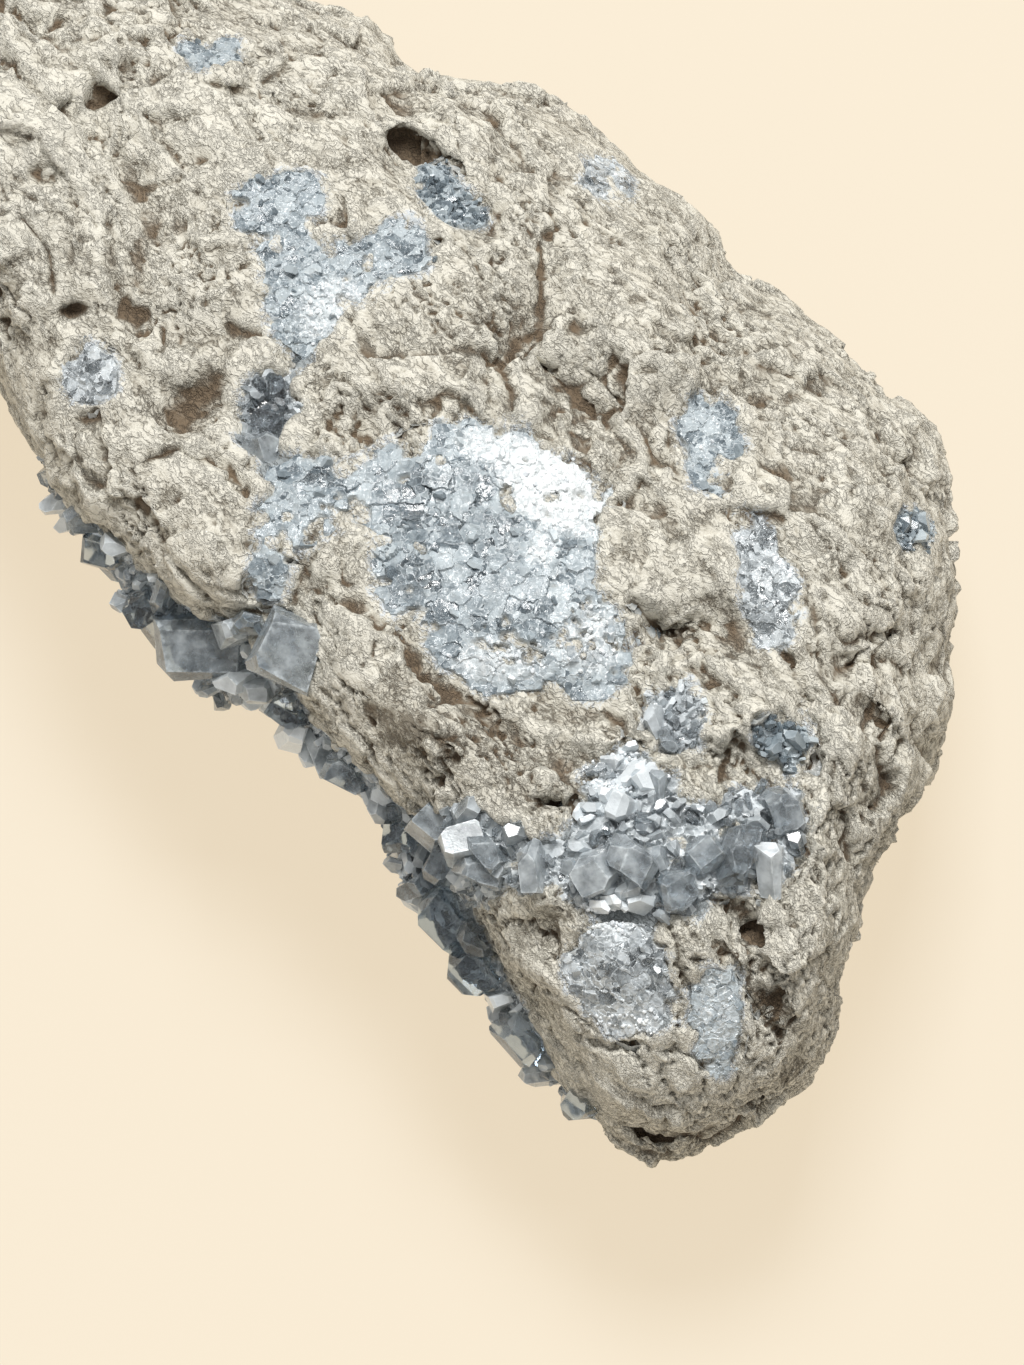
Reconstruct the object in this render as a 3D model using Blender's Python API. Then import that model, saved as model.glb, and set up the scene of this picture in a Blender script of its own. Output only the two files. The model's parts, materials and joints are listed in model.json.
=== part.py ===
"""Celestite druse on its matrix rock, lying as it rests by itself.

Blender 4.5, metres, +Z up, origin at the bottom centre of the whole piece.

The rock's broad face looks up. Its outline and its relief are given as they look from the front and
65 degrees above: "across" runs along +X, "up" runs up that view, and "height" is the height over the
surface that the rock lies on, all in millimetres. place() turns the three into a point in the model.
The crystals grow in crusts. Each crust has a root that sits in a socket in the rock, and every crystal
of it is joined to that root.
"""

import math
import random

import bmesh
import bpy
from mathutils import Matrix, Vector, noise
from mathutils.bvhtree import BVHTree
from mathutils.geometry import intersect_point_line

# Driving dimensions, in millimetres and degrees
MM = 0.001
VIEW_ELEVATION = math.radians(65)
TOP_HEIGHT = 53.0
FOOT_DEPTH = 1.2
FOOT_RISE = 5.0
CENTRE_ACROSS = -15.0
CENTRE_DEPTH = 14.0
GAP = 0.35
ROOT_DEPTH = 2.2
ROOT_LIFT = 0.35
WIDE_LOBE = 7
SOCKET_DEPTH = 3.2
SOCKET_CLEARANCE = 7.0
PROBE_REACH = 40
ROCK_DETAIL = 0.078
CALM_HEIGHT = 7.0
COARSE_LUMPS = 17
COARSE_RISE = 0.9
EXTRA_BELOW = 1.4
FINE_LUMPS = 5.5
FINE_RISE = 0.45
FACE_CREST = 3.4
TIP_START = -15
TIP_FALL = 0.013
FAR_END_START = 55
FAR_END_FALL = 0.005
LEDGE_EDGE = 1.5
LEDGE_FADE = 4

# The rock's widest line, clockwise from the top of the view: across, up, height, and how steeply
# the side below it falls to the foot. The long left part from (-58, 28) to (10, -51) carries the druse.
RIM = (
    (-19, 82, 25, 2.4),
    (-12, 76, 26, 2.4),
    (-4, 74.5, 27, 2.4),
    (7, 71, 26, 2.3),
    (17, 63, 25, 2.3),
    (26, 56, 25, 2.3),
    (27, 51, 27, 2.3),
    (35, 46, 26, 2.3),
    (43, 38, 26, 2.3),
    (50, 31, 26, 2.3),
    (53, 24, 27, 2.4),
    (54, 16, 28, 2.4),
    (54.5, 9, 27, 2.4),
    (52.5, 3, 25, 2.5),
    (53.5, -2, 25, 2.5),
    (51, -8, 24, 2.6),
    (49, -14, 23, 2.6),
    (44, -22, 22, 2.8),
    (42, -29, 20, 2.8),
    (39.5, -36, 18, 3.0),
    (38.5, -43, 16, 3.0),
    (34, -50, 14, 3.0),
    (27, -54, 13, 3.2),
    (20, -58, 13, 3.4),
    (13, -56, 15, 4.0),
    (9.5, -51, 22, 4.2),
    (4.5, -44, 28, 4.6),
    (0.5, -38, 32, 5.0),
    (-3, -31, 35, 5.5),
    (-6, -25, 37, 5.5),
    (-9, -19, 38, 5.5),
    (-14, -13.5, 39, 5.5),
    (-20, -7.5, 40, 5.5),
    (-26, -2, 40, 5.5),
    (-31, 7, 41, 5.5),
    (-36, 9, 41, 5.5),
    (-42, 12, 40, 5.5),
    (-48, 18, 39, 5.5),
    (-54, 23, 37, 5.0),
    (-58.5, 29, 34, 4.6),
    (-62, 35, 31, 4.2),
    (-69, 46, 28, 4.0),
    (-77, 59, 27, 3.0),
    (-83, 73, 26, 2.8),
    (-84, 87, 24, 2.6),
    (-77, 97, 22, 2.4),
    (-65, 100, 22, 2.4),
    (-51, 96, 23, 2.4),
    (-37, 90.5, 24, 2.4),
    (-27, 86, 25, 2.4),
)
SPINE = ((24, -38), (19, -14), (8, 14), (-10, 38), (-34, 60), (-56, 76))
# The level spot underneath, under the rock's weight: across, up, half length, half width, turn
FOOT = (-8, 15, 62, 34, 121)
AROUND = 220
RINGS = 34
INNER_REACH = 0.06

# Broad lumps on the face: across, up, half length, half width, turn, height
LUMPS = (
    (-6, 70, 9, 5, -25, 3.0),
    (-37, 16, 10, 8, -30, 2.2),
    (28.5, -3, 7.5, 6, 10, 3.5),
    (2, -26.5, 4.5, 2.8, 20, 2.4),
    (15.5, 42, 15, 9, -60, 3.0),
    (-36, 65, 15, 8, -20, 2.2),
    (-10, 35.5, 13, 6, 5, 2.4),
    (42, 24, 11, 8, 70, 3.0),
    (35, -34, 12, 6, 70, 3.0),
    (14, -48, 9, 4, -30, 1.8),
    (-9, -5.5, 12, 5, -32, 3.0),
    (-60, 70, 14, 9, -30, 2.0),
    (-48, 52, 5, 9, 0, 1.6),
    (38, 40, 9, 4, -40, 2.0),
    (20, 14, 8, 7, 0, 1.6),
    (-62, 52, 8, 4, -55, 1.8),
    (-18, 70, 8, 5, -20, 1.6),
    (45, -10, 6, 4, 60, 2.0),
)

# Hollows and cavities in the face: across, up, half length, half width, turn, depth
HOLLOWS = (
    (-37.5, 33, 8, 6.5, 30, 4.0),
    (-53, 45, 3.6, 1.9, 10, 2.8),
    (-57, 61.5, 2.4, 2.4, 0, 2.2),
    (30, 46, 4, 2.2, -40, 3.0),
    (48, 24, 3.2, 4, 0, 3.0),
    (40, 2, 2.4, 2.4, 0, 2.6),
    (44.5, 5.5, 3.2, 2.2, 30, 2.6),
    (43.2, -4.8, 2.2, 2.8, 0, 2.4),
    (19, -14.7, 5.2, 2.0, 0, 4.6),
    (5.2, -14.7, 5.6, 2.8, -10, 4.2),
    (3.4, -29.5, 7.5, 4.5, -30, 3.4),
    (34, -49.5, 4.5, 2.6, 30, 3.0),
    (16.5, -53, 8, 3, -10, 3.5),
    (-50.5, 33, 3.2, 1.8, 0, 2.4),
    (-20, 63.5, 3, 2, 0, 1.4),
    (31, -21, 4.5, 3.2, 20, 2.4),
)

# Grooves, clefts and cracks: half width, depth, then the points along them
GROOVES = (
    (2.3, 4.2, ((-13.5, 64), (-8.6, 59.4), (-3.5, 56))),
    (1.7, 2.8, ((4, 54), (3.4, 47), (1, 40.5), (5.8, 34), (10.6, 28), (12.6, 23))),
    (2.6, 3.4, ((-25.4, 39.3), (-28.4, 35), (-31.4, 27.3))),
    (2.2, 3.6, ((15.4, 5), (22.6, 7.5), (28.6, 5), (34.6, -2), (36, -10.5))),
    (2.2, 3.0, ((39.4, 2.7), (44.5, 4.5), (51, 8.5))),
    (2.4, 3.0, ((51, -5), (45, -9.3), (40, -20))),
    (2.0, 2.6, ((-8.6, -1), (1, -7), (10.6, -10.5), (22.6, -9.3), (33, -11.7))),
    (1.8, 2.0, ((-3.8, -30), (3.4, -39.3), (9.4, -49))),
    (1.4, 1.8, ((-26.5, 70.5), (-20, 69.5), (-10, 64))),
    (1.5, 2.0, ((-46, 44), (-38, 41), (-30, 41))),
    (1.6, 2.2, ((24, -24), (29, -31), (31, -41))),
    (1.4, 1.8, ((25, 55), (20, 49), (22, 40), (30, 33))),
)

# Steps where the face drops to the left or below the line: drop, run-out, then the points along it
LEDGES = (
    (4.5, 14, ((-55, 71), (-52.4, 67), (-48.2, 60), (-48, 51), (-46.4, 45), (-43, 43))),
    (2.5, 9, ((-14, 18.5), (-9, 16), (-4, 11))),
    (3.0, 12, ((-3, -2.5), (6, -5.5), (15, -5), (22, -8))),
)


def view_vector(across, up, height):
    """A step in the view's millimetres as a step in the model."""
    depth = up / math.sin(VIEW_ELEVATION) - height / math.tan(VIEW_ELEVATION)
    return Vector((across, depth, height)) * MM


TOWARD_VIEW = view_vector(0, 0, 1).normalized()


def place(across, up, height):
    """A point of the view, in millimetres, as a point of the model."""
    return view_vector(across, up, height) - Vector((CENTRE_ACROSS, CENTRE_DEPTH, 0)) * MM


def loop_point(points, turn):
    """The smooth closed curve through the points, at a share of one turn."""
    where = turn % 1 * len(points)
    first = int(where)
    part = where - first
    a, b, c, d = (Vector(points[(first + k) % len(points)]) for k in (-1, 0, 1, 2))
    bend = 2 * a - 5 * b + 4 * c - d
    twist = 3 * b - a - 3 * c + d
    return b + 0.5 * part * (c - a + part * (bend + part * twist))


def nearest_on_line(point, line):
    """The point of an open line that is nearest to a point of the view."""
    found = []
    for start, end in zip(line, line[1:]):
        start, end = Vector(start).to_3d(), Vector(end).to_3d()
        foot, share = intersect_point_line(point.to_3d(), start, end)
        found.append(start if share < 0 else end if share > 1 else foot)
    return min((near.to_2d() for near in found), key=lambda near: (near - point).length)


def side_of_line(point, line):
    """+1 where the point is to the right of the line's nearest stretch, -1 where it is to the left."""
    stretches = [(Vector(start), Vector(end)) for start, end in zip(line, line[1:])]
    start, end = min(stretches, key=lambda ends: ((ends[0] + ends[1]) / 2 - point).length)
    run = end - start
    away = point - start
    return math.copysign(1, run.y * away.x - run.x * away.y)


def bowl(point, across, up, half_length, half_width, turn):
    """1 in the middle of a turned oval, falling smoothly to 0 at its edge."""
    away = Matrix.Rotation(math.radians(-turn), 2) @ (point - Vector((across, up)))
    share = (away.x / half_length) ** 2 + (away.y / half_width) ** 2
    return (1 - share) ** 2 if share < 1 else 0.0


def relief(point):
    """How far the face stands over its general level at a point of the view."""
    height = 0.0
    for *oval, rise in LUMPS:
        height += rise * bowl(point, *oval)
    for *oval, depth in HOLLOWS:
        height -= depth * bowl(point, *oval)
    for half_width, depth, line in GROOVES:
        away = (nearest_on_line(point, line) - point).length / half_width
        height -= depth * math.exp(-away * away)
    for drop, run_out, line in LEDGES:
        foot = nearest_on_line(point, line)
        away = (foot - point).length
        if side_of_line(point, line) < 0 and away < run_out:
            from_ends = min((foot - Vector(end)).length for end in (line[0], line[-1]))
            fade = min(away / LEDGE_EDGE, 1) * min(from_ends / LEDGE_FADE, 1)
            height -= drop * (1 - away / run_out) * fade
    return height


def face_level(point):
    """The general height of the face: nearly level, and falling towards both ends."""
    to_tip = max(0, TIP_START - point.y)
    to_far_end = max(0, point.y - FAR_END_START)
    return TOP_HEIGHT - TIP_FALL * to_tip**2 - FAR_END_FALL * to_far_end**2


def foot_level(point):
    """The general height of the underside: level under the middle, and rising all round it."""
    across, up, half_length, half_width, turn = FOOT
    away = Matrix.Rotation(math.radians(-turn), 2) @ (point - Vector((across, up)))
    return -FOOT_DEPTH + FOOT_RISE * ((away.x / half_length) ** 2 + (away.y / half_width) ** 2)


def body_point(turn, reach, is_face):
    """A point of the rock, from its spine (reach 0) to its widest line (reach 1)."""
    across, up, rim_height, steepness = loop_point(RIM, turn)
    rim = Vector((across, up))
    hub = nearest_on_line(rim, SPINE)
    point = hub.lerp(rim, reach)
    if is_face:
        fall = math.sqrt(1 - reach**FACE_CREST)
        height = rim_height + (face_level(point) - rim_height) * fall
        height += relief(point) * min(1, 3 * fall)
    else:
        fall = math.sqrt(1 - reach**steepness)
        height = rim_height + (foot_level(point) - rim_height) * fall
    return place(*point, height)


def roughen(mesh):
    """Uneven broken rock: coarse lumps, more of them underneath, and finer ones over everything."""
    mesh.normal_update()
    steps = []
    for vertex in mesh.verts:
        spot = vertex.co / MM
        underneath = max(0.0, -vertex.normal.z)
        coarse = noise.fractal(spot / COARSE_LUMPS, 1.0, 2.0, 3)
        fine = noise.fractal(spot / FINE_LUMPS, 0.8, 2.1, 3)
        bulk = coarse * (COARSE_RISE + EXTRA_BELOW * underneath) + FINE_RISE * fine
        calm = min(1, max(0, spot.z) / CALM_HEIGHT)
        steps.append(vertex.normal * MM * bulk * calm)
    for vertex, step in zip(mesh.verts, steps):
        vertex.co += step


def rock_mesh():
    """The rock before its sockets are cut: rings around the spine, over the face and back below."""
    mesh = bmesh.new()
    turns = [k / AROUND for k in range(AROUND)]
    spread = [math.sin(math.pi / 2 * k / RINGS) for k in range(RINGS + 1)]
    reaches = [INNER_REACH + (1 - INNER_REACH) * share for share in spread]
    levels = [(reach, True) for reach in reaches]
    levels += [(reach, False) for reach in reversed(reaches[:-1])]
    rings = [[mesh.verts.new(body_point(turn, *level)) for turn in turns] for level in levels]
    for inner, outer in zip(rings, rings[1:]):
        for k in range(AROUND):
            after = (k + 1) % AROUND
            mesh.faces.new((inner[k], inner[after], outer[after], outer[k]))
    for end in (rings[0], rings[-1]):
        edges = [mesh.edges.get((end[k - 1], end[k])) for k in range(AROUND)]
        bmesh.ops.triangle_fill(mesh, use_beauty=True, edges=edges)
    bmesh.ops.recalc_face_normals(mesh, faces=mesh.faces)
    roughen(mesh)
    return mesh


def principled(name, colour, roughness):
    """A plain material with the part's colour."""
    material = bpy.data.materials.new(name)
    material.use_nodes = True
    shader = material.node_tree.nodes["Principled BSDF"]
    shader.inputs["Base Color"].default_value = (*colour, 1)
    shader.inputs["Roughness"].default_value = roughness
    shader.inputs["Metallic"].default_value = 0.0
    return material


def add_object(name, mesh, material=None):
    """Puts a bmesh in the scene. With no material it is a helper, not a part of the piece."""
    bmesh.ops.recalc_face_normals(mesh, faces=mesh.faces)
    data = bpy.data.meshes.new(name)
    mesh.to_mesh(data)
    mesh.free()
    made = bpy.data.objects.new(name, data)
    bpy.context.collection.objects.link(made)
    if material:
        data.materials.append(material)
    else:
        made.hide_render = True
        made.display_type = "WIRE"
    return made


def combine(target, other, operation):
    """Joins another object to the target, or cuts it away."""
    modifier = target.modifiers.new(operation.title() + " " + other.name, "BOOLEAN")
    modifier.operation = operation
    modifier.object = other
    modifier.solver = "EXACT"
    modifier.use_self = operation == "UNION"


def merge_flat_faces(mesh):
    """Makes each flat stretch one face, with no points along its straight edges."""
    flat = math.radians(0.5)
    bmesh.ops.dissolve_limit(mesh, angle_limit=flat, verts=mesh.verts, edges=mesh.edges)


def settle(thing):
    """Makes the modifiers final, and keeps the outer skin alone: no sealed pocket and no crumb."""
    graph = bpy.context.evaluated_depsgraph_get()
    data = bpy.data.meshes.new_from_object(thing.evaluated_get(graph))
    thing.modifiers.clear()
    thing.data = data
    mesh = bmesh.new()
    mesh.from_mesh(data)
    waiting = set(mesh.verts)
    skins = []
    while waiting:
        skin = set()
        edge = [waiting.pop()]
        while edge:
            vertex = edge.pop()
            skin.add(vertex)
            near = {link.other_vert(vertex) for link in vertex.link_edges} & waiting
            waiting -= near
            edge.extend(near)
        skins.append(skin)
    skins.sort(key=len)
    for crumb in skins[:-1]:
        bmesh.ops.delete(mesh, geom=list(crumb), context="VERTS")
    merge_flat_faces(mesh)
    mesh.to_mesh(data)
    mesh.free()


class Crystal:
    """One blocky crystal: a six-sided prism that ends in a slanted wedge, all faces flat."""

    def __init__(self, root, axis, roll, half_width, half_depth, length):
        self.root = root
        self.axis = axis.normalized()
        self.roll = roll
        self.half_width = half_width
        self.half_depth = half_depth
        self.length = length

    def corners(self):
        wide, deep, tip = self.half_width, self.half_depth, self.length
        ridge = 0.25 * wide
        outline = ((wide, -0.5), (wide, 0.5), (ridge, 1), (-wide, 0.45), (-wide, -0.55), (ridge, -1))
        turned = self.axis.to_track_quat("Z", "Y").to_matrix() @ Matrix.Rotation(self.roll, 3, "Z")
        for x, y in outline:
            shoulder = tip - (1.05 * (x - ridge) if x > ridge else 0.75 * (ridge - x))
            for z in (-1, max(shoulder, 0.2 * tip)):
                yield self.root + turned @ Vector((x, y * deep, z)) * MM

    def add_to(self, mesh):
        corners = [mesh.verts.new(corner) for corner in self.corners()]
        hull = bmesh.ops.convex_hull(mesh, input=corners, use_existing_faces=False)
        loose = set(hull["geom_interior"]) | set(hull["geom_unused"])
        buried = [item for item in loose if isinstance(item, bmesh.types.BMVert)]
        bmesh.ops.delete(mesh, geom=buried, context="VERTS")


class Rock:
    """The uncut rock's surface, for everything that grows on it."""

    def __init__(self, mesh):
        self.surface = BVHTree.FromBMesh(mesh)

    def face_at(self, across, up):
        """The point of the face seen at a place of the view, and the direction that it faces."""
        start = place(across, up, 2 * TOP_HEIGHT)
        point, normal, _, _ = self.surface.ray_cast(start, -TOWARD_VIEW)
        if point is None:
            point, normal, _, _ = self.surface.find_nearest(place(across, up, TOP_HEIGHT / 2))
        return point, normal

    def flank_at(self, turn, drop):
        """The point of the side at a share of the way down from the widest line, and where it faces."""
        across, up, height, _ = loop_point(RIM, turn)
        along = loop_point(RIM, turn + 0.004) - loop_point(RIM, turn - 0.004)
        outward = view_vector(-along.y, along.x, 0)
        outward = outward if outward.x < 0 else -outward
        outward.z = 0
        outward.normalize()
        start = place(across, up, height * (1 - drop)) + outward * PROBE_REACH * MM
        point, normal, _, _ = self.surface.ray_cast(start, -outward)
        return point, (normal + outward).normalized()


def inside(point, outline):
    """Whether a point of the view lies inside a closed outline."""
    crossings = 0
    for (x1, y1), (x2, y2) in zip(outline, outline[1:] + outline[:1]):
        if (y1 > point[1]) != (y2 > point[1]):
            crossings += point[0] < x1 + (x2 - x1) * (point[1] - y1) / (y2 - y1)
    return crossings % 2 == 1


def border_distance(point, outline):
    """How far a point of the view is from the nearest side of a closed outline."""
    closed = outline + outline[:1]
    return (nearest_on_line(Vector(point), closed) - Vector(point)).length


def widened(outline, margin):
    """The middle of the outline, and its corners with every side moved out by the margin."""
    points = [Vector(point) for point in outline]
    middle = sum(points, Vector((0, 0))) / len(points)
    corners = []
    for before, point, after in zip(points[-1:] + points, points, points[1:] + points[:1]):
        into, onward = (point - before).normalized(), (after - point).normalized()
        outward = Vector((-into.y - onward.y, into.x + onward.x)).normalized()
        corners.append(point + outward * margin / max(0.5, outward.dot(Vector((-into.y, into.x)))))
    return middle, corners


def add_root(mesh, rock, outline, margin=0.0, lift=ROOT_LIFT, depth=ROOT_DEPTH):
    """One lobe of a crust's root: a slab that follows the face, in rings around its own middle."""
    middle, corners = widened(outline, margin)
    caps = []
    is_wide = max((corner - middle).length for corner in corners) > WIDE_LOBE
    for offset, shares in ((lift, (1.0, 0.55) if is_wide else (1.0,)), (-depth, (1.0,))):
        rings = []
        for share in shares:
            ring = []
            for corner in corners:
                point, _ = rock.face_at(*middle.lerp(corner, share))
                ring.append(mesh.verts.new(point + view_vector(0, 0, offset)))
            rings.append(ring)
        point, _ = rock.face_at(*middle)
        caps.append((rings, mesh.verts.new(point + view_vector(0, 0, offset))))
    count = len(corners)
    for rings, centre in caps:
        for k in range(count):
            after = (k + 1) % count
            for outer, inner in zip(rings, rings[1:]):
                mesh.faces.new((outer[k], outer[after], inner[after], inner[k]))
            mesh.faces.new((rings[-1][k], rings[-1][after], centre))
    top, bottom = caps[0][0][0], caps[1][0][0]
    for k in range(count):
        after = (k + 1) % count
        mesh.faces.new((top[k], bottom[k], bottom[after], top[after]))


def sown(rock, outlines, size, spacing, lean, seed):
    """Crystals sown at random over a crust, each kept inside the crust's outline."""
    chance = random.Random(seed)
    crystals = []
    for outline in outlines:
        low = [min(point[k] for point in outline) for k in (0, 1)]
        high = [max(point[k] for point in outline) for k in (0, 1)]
        rows = int((high[1] - low[1]) / spacing) + 1
        columns = int((high[0] - low[0]) / spacing) + 1
        for row in range(rows):
            for column in range(columns):
                across = low[0] + spacing * (column + 0.5 * (row % 2) + chance.uniform(-0.2, 0.4))
                up = low[1] + spacing * (row + chance.uniform(-0.2, 0.4))
                reach = border_distance((across, up), outline)
                if not inside((across, up), outline) or reach < 0.4 * size:
                    continue
                half_width = min(size * chance.uniform(0.42, 0.6), 0.8 * reach)
                length = size * chance.uniform(0.45, 0.8)
                point, normal = rock.face_at(across, up)
                tilt = Vector((chance.uniform(-lean, lean), chance.uniform(-lean, lean), 0))
                sideways = normal - normal.project(TOWARD_VIEW) + tilt
                most = max(0, reach - 1.15 * half_width) / length
                sideways.length = min(sideways.length, most)
                crystals.append(
                    Crystal(
                        point,
                        TOWARD_VIEW + sideways,
                        chance.uniform(0, math.pi),
                        half_width,
                        half_width * chance.uniform(0.7, 1),
                        length,
                    )
                )
    return crystals


def add_crust(name, material, root, crystals):
    """Joins a crust's crystals to its root."""
    crust = add_object(name, root, material)
    grown = bmesh.new()
    for crystal in crystals:
        crystal.add_to(grown)
    merge_flat_faces(grown)
    helper = add_object(name + "_crystals", grown)
    combine(crust, helper, "UNION")
    settle(crust)
    bpy.data.objects.remove(helper)


def add_lobes(root, rock, sockets, outlines):
    """Root lobes on the face, with a socket in the rock for each."""
    for outline in outlines:
        add_root(root, rock, outline)
        socket = bmesh.new()
        add_root(socket, rock, outline, GAP, SOCKET_CLEARANCE, SOCKET_DEPTH)
        sockets.append(add_object("face_socket", socket))


def face_crust(name, material, rock, sockets, outlines, size, spacing, lean=0.45, seed=1):
    """A crust on the face, with crystals of one size sown over it."""
    root = bmesh.new()
    add_lobes(root, rock, sockets, outlines)
    add_crust(name, material, root, sown(rock, outlines, size, spacing, lean, seed))


# The druse, along the side that looks down and to the left of the view: its two ends as shares of
# one turn round the rim, its rows down the side, and its height, lift, root and socket in millimetres
DRUSE_START = 0.50
DRUSE_END = 0.77
DRUSE_STEPS = 18
DRUSE_ROWS = (0, 0.28, 0.52, 0.76, 1)
DRUSE_TOP = 0.03
DRUSE_BOTTOM = 0.74
DRUSE_HEIGHT = 40
RIM_LENGTH = 480
DRUSE_LIFT = 1.0
DRUSE_ROOT = 3.0
DRUSE_SOCKET = 5.2
DRUSE_CLEARANCE = 3.5
LOWER_ROWS = (0.45, 0.66, 0.87)
LOWER_CRYSTALS = 10

# Big crystals that show from the front, just below the edge: place along the druse, length,
# half width, half depth, swing along the edge, lift towards the view, roll
BIG_CRYSTALS = (
    (0.06, 4, 2.2, 1.8, 0, 6, 10),
    (0.13, 5, 2.6, 2.2, 8, 4, 95),
    (0.20, 6.5, 3.2, 2.8, -12, 4, 50),
    (0.27, 6.5, 3.2, 2.8, 12, 6, 120),
    (0.335, 7, 3.6, 3.0, 0, 6, 20),
    (0.40, 8.5, 2.8, 2.4, 20, 10, 60),
    (0.48, 5.5, 3.2, 2.6, -10, 5, 80),
    (0.56, 6.5, 3.4, 2.8, 10, 0, 30),
    (0.63, 9, 4.6, 3.8, 10, 14, 100),
    (0.735, 12, 6.2, 4.8, 0, 8, 8),
    (0.83, 7, 3.4, 2.8, -10, 6, 70),
    (0.89, 5.5, 2.8, 2.4, 10, 4, 15),
    (0.95, 4, 2.2, 1.8, -10, 4, 40),
)


def druse_turn(share):
    """The place round the rim, as a share of one turn, of a place along the druse."""
    return DRUSE_START + (DRUSE_END - DRUSE_START) * share


def druse_drop(share, row):
    """How far down the side a row of the druse lies, as a share: the crust narrows towards its ends."""
    from_end = min(share, 1 - share)
    width = 0.45 + 0.55 * math.sin(math.pi / 2 * min(1, from_end / 0.25))
    width += 0.04 * math.sin(19 * share)
    return DRUSE_TOP + (DRUSE_BOTTOM - DRUSE_TOP) * row * width


def add_druse_root(mesh, rock, inner, outer, border):
    """The slab that carries the druse, following the side of the rock from just below its edge."""
    border_turn = border / RIM_LENGTH
    border_drop = border / DRUSE_HEIGHT
    last = len(DRUSE_ROWS) - 1
    layers = []
    for offset in (inner, outer):
        grid = []
        for k in range(DRUSE_STEPS + 1):
            share = k / DRUSE_STEPS
            turn = druse_turn(share) + border_turn * ((k == DRUSE_STEPS) - (k == 0))
            column = []
            for row in DRUSE_ROWS:
                drop = druse_drop(share, row) + border_drop * ((row == 1) - (row == 0))
                point, normal = rock.flank_at(turn, drop)
                column.append(mesh.verts.new(point + normal * offset * MM))
            grid.append(column)
        layers.append(grid)
    low, high = layers
    for k in range(DRUSE_STEPS):
        for row in range(last):
            for grid in layers:
                near, far = grid[k], grid[k + 1]
                mesh.faces.new((near[row], far[row], far[row + 1], near[row + 1]))
        for row in (0, last):
            mesh.faces.new((low[k][row], low[k + 1][row], high[k + 1][row], high[k][row]))
    for k in (0, DRUSE_STEPS):
        for row in range(last):
            mesh.faces.new((low[k][row], low[k][row + 1], high[k][row + 1], high[k][row]))


def druse_crystal(rock, share, drop, length, half_width, half_depth, swing, lift, roll):
    """One crystal of the druse, leaning from the side of the rock by its swing and its lift."""
    turn = druse_turn(share)
    point, normal = rock.flank_at(turn, drop)
    along = normal.cross(TOWARD_VIEW).normalized()
    axis = Matrix.Rotation(math.radians(lift), 3, -along) @ normal
    axis = Matrix.Rotation(math.radians(swing), 3, TOWARD_VIEW) @ axis
    return Crystal(point, axis, math.radians(roll), half_width, half_depth, length)


def druse_crystals(rock):
    """The big crystals that show from the front, and the rows of smaller ones below them."""
    crystals = []
    for share, length, half_width, half_depth, *turns in BIG_CRYSTALS:
        rim_height = loop_point(RIM, druse_turn(share))[2]
        drop = DRUSE_TOP + (1.2 * half_width + GAP) / rim_height
        crystals.append(druse_crystal(rock, share, drop, length, half_width, half_depth, *turns))
    chance = random.Random(7)
    for row, down in enumerate(LOWER_ROWS):
        for k in range(LOWER_CRYSTALS):
            share = 0.07 + 0.87 * (k + 0.5 * (row % 2) + chance.uniform(-0.2, 0.2)) / 9.6
            growth = 0.6 + 0.4 * min(1, share / 0.3)
            half_width = growth * chance.uniform(2.8, 4.2)
            crystals.append(
                druse_crystal(
                    rock,
                    share,
                    druse_drop(share, down),
                    growth * chance.uniform(3.5, 7),
                    half_width,
                    half_width * chance.uniform(0.7, 1),
                    chance.uniform(-25, 25),
                    chance.uniform(-20, 20),
                    chance.uniform(0, 180),
                )
            )
    return crystals


# Where the druse wraps over the edge and runs across the face as a band: outlines in the view
BAND = (
    ((-10, -16), (-5, -15.4), (-1, -18), (5, -19.4), (8, -22), (4, -23), (-1.4, -24), (-4, -26.6),
     (-7.6, -25), (-10, -21)),
    ((7.4, -17), (9.4, -10), (13.6, -8), (18, -10), (19.4, -14.5), (17, -19), (10, -21)),
    ((14, -17), (20, -16.4), (27, -13), (31.6, -12), (34.8, -14), (34.4, -20), (31, -22.4),
     (26.6, -23.8), (22.4, -24.4), (16, -22)),
    ((4.6, -21), (9, -18.5), (17, -19), (21.4, -23), (20.4, -27.6), (15.4, -26), (10.6, -26.6),
     (6.4, -25)),
)


def add_druse(material, rock, sockets):
    """The crust of the side and its band on the face, grown together as one."""
    root, socket = bmesh.new(), bmesh.new()
    add_druse_root(root, rock, -DRUSE_ROOT, DRUSE_LIFT, 0.0)
    add_druse_root(socket, rock, -DRUSE_SOCKET, DRUSE_CLEARANCE, 2 * GAP)
    sockets.append(add_object("druse_socket", socket))
    add_lobes(root, rock, sockets, BAND)
    band_crystals = sown(rock, BAND, size=4.4, spacing=4.4, lean=0.45, seed=4)
    add_crust("druse_crust", material, root, druse_crystals(rock) + band_crystals)


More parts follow.
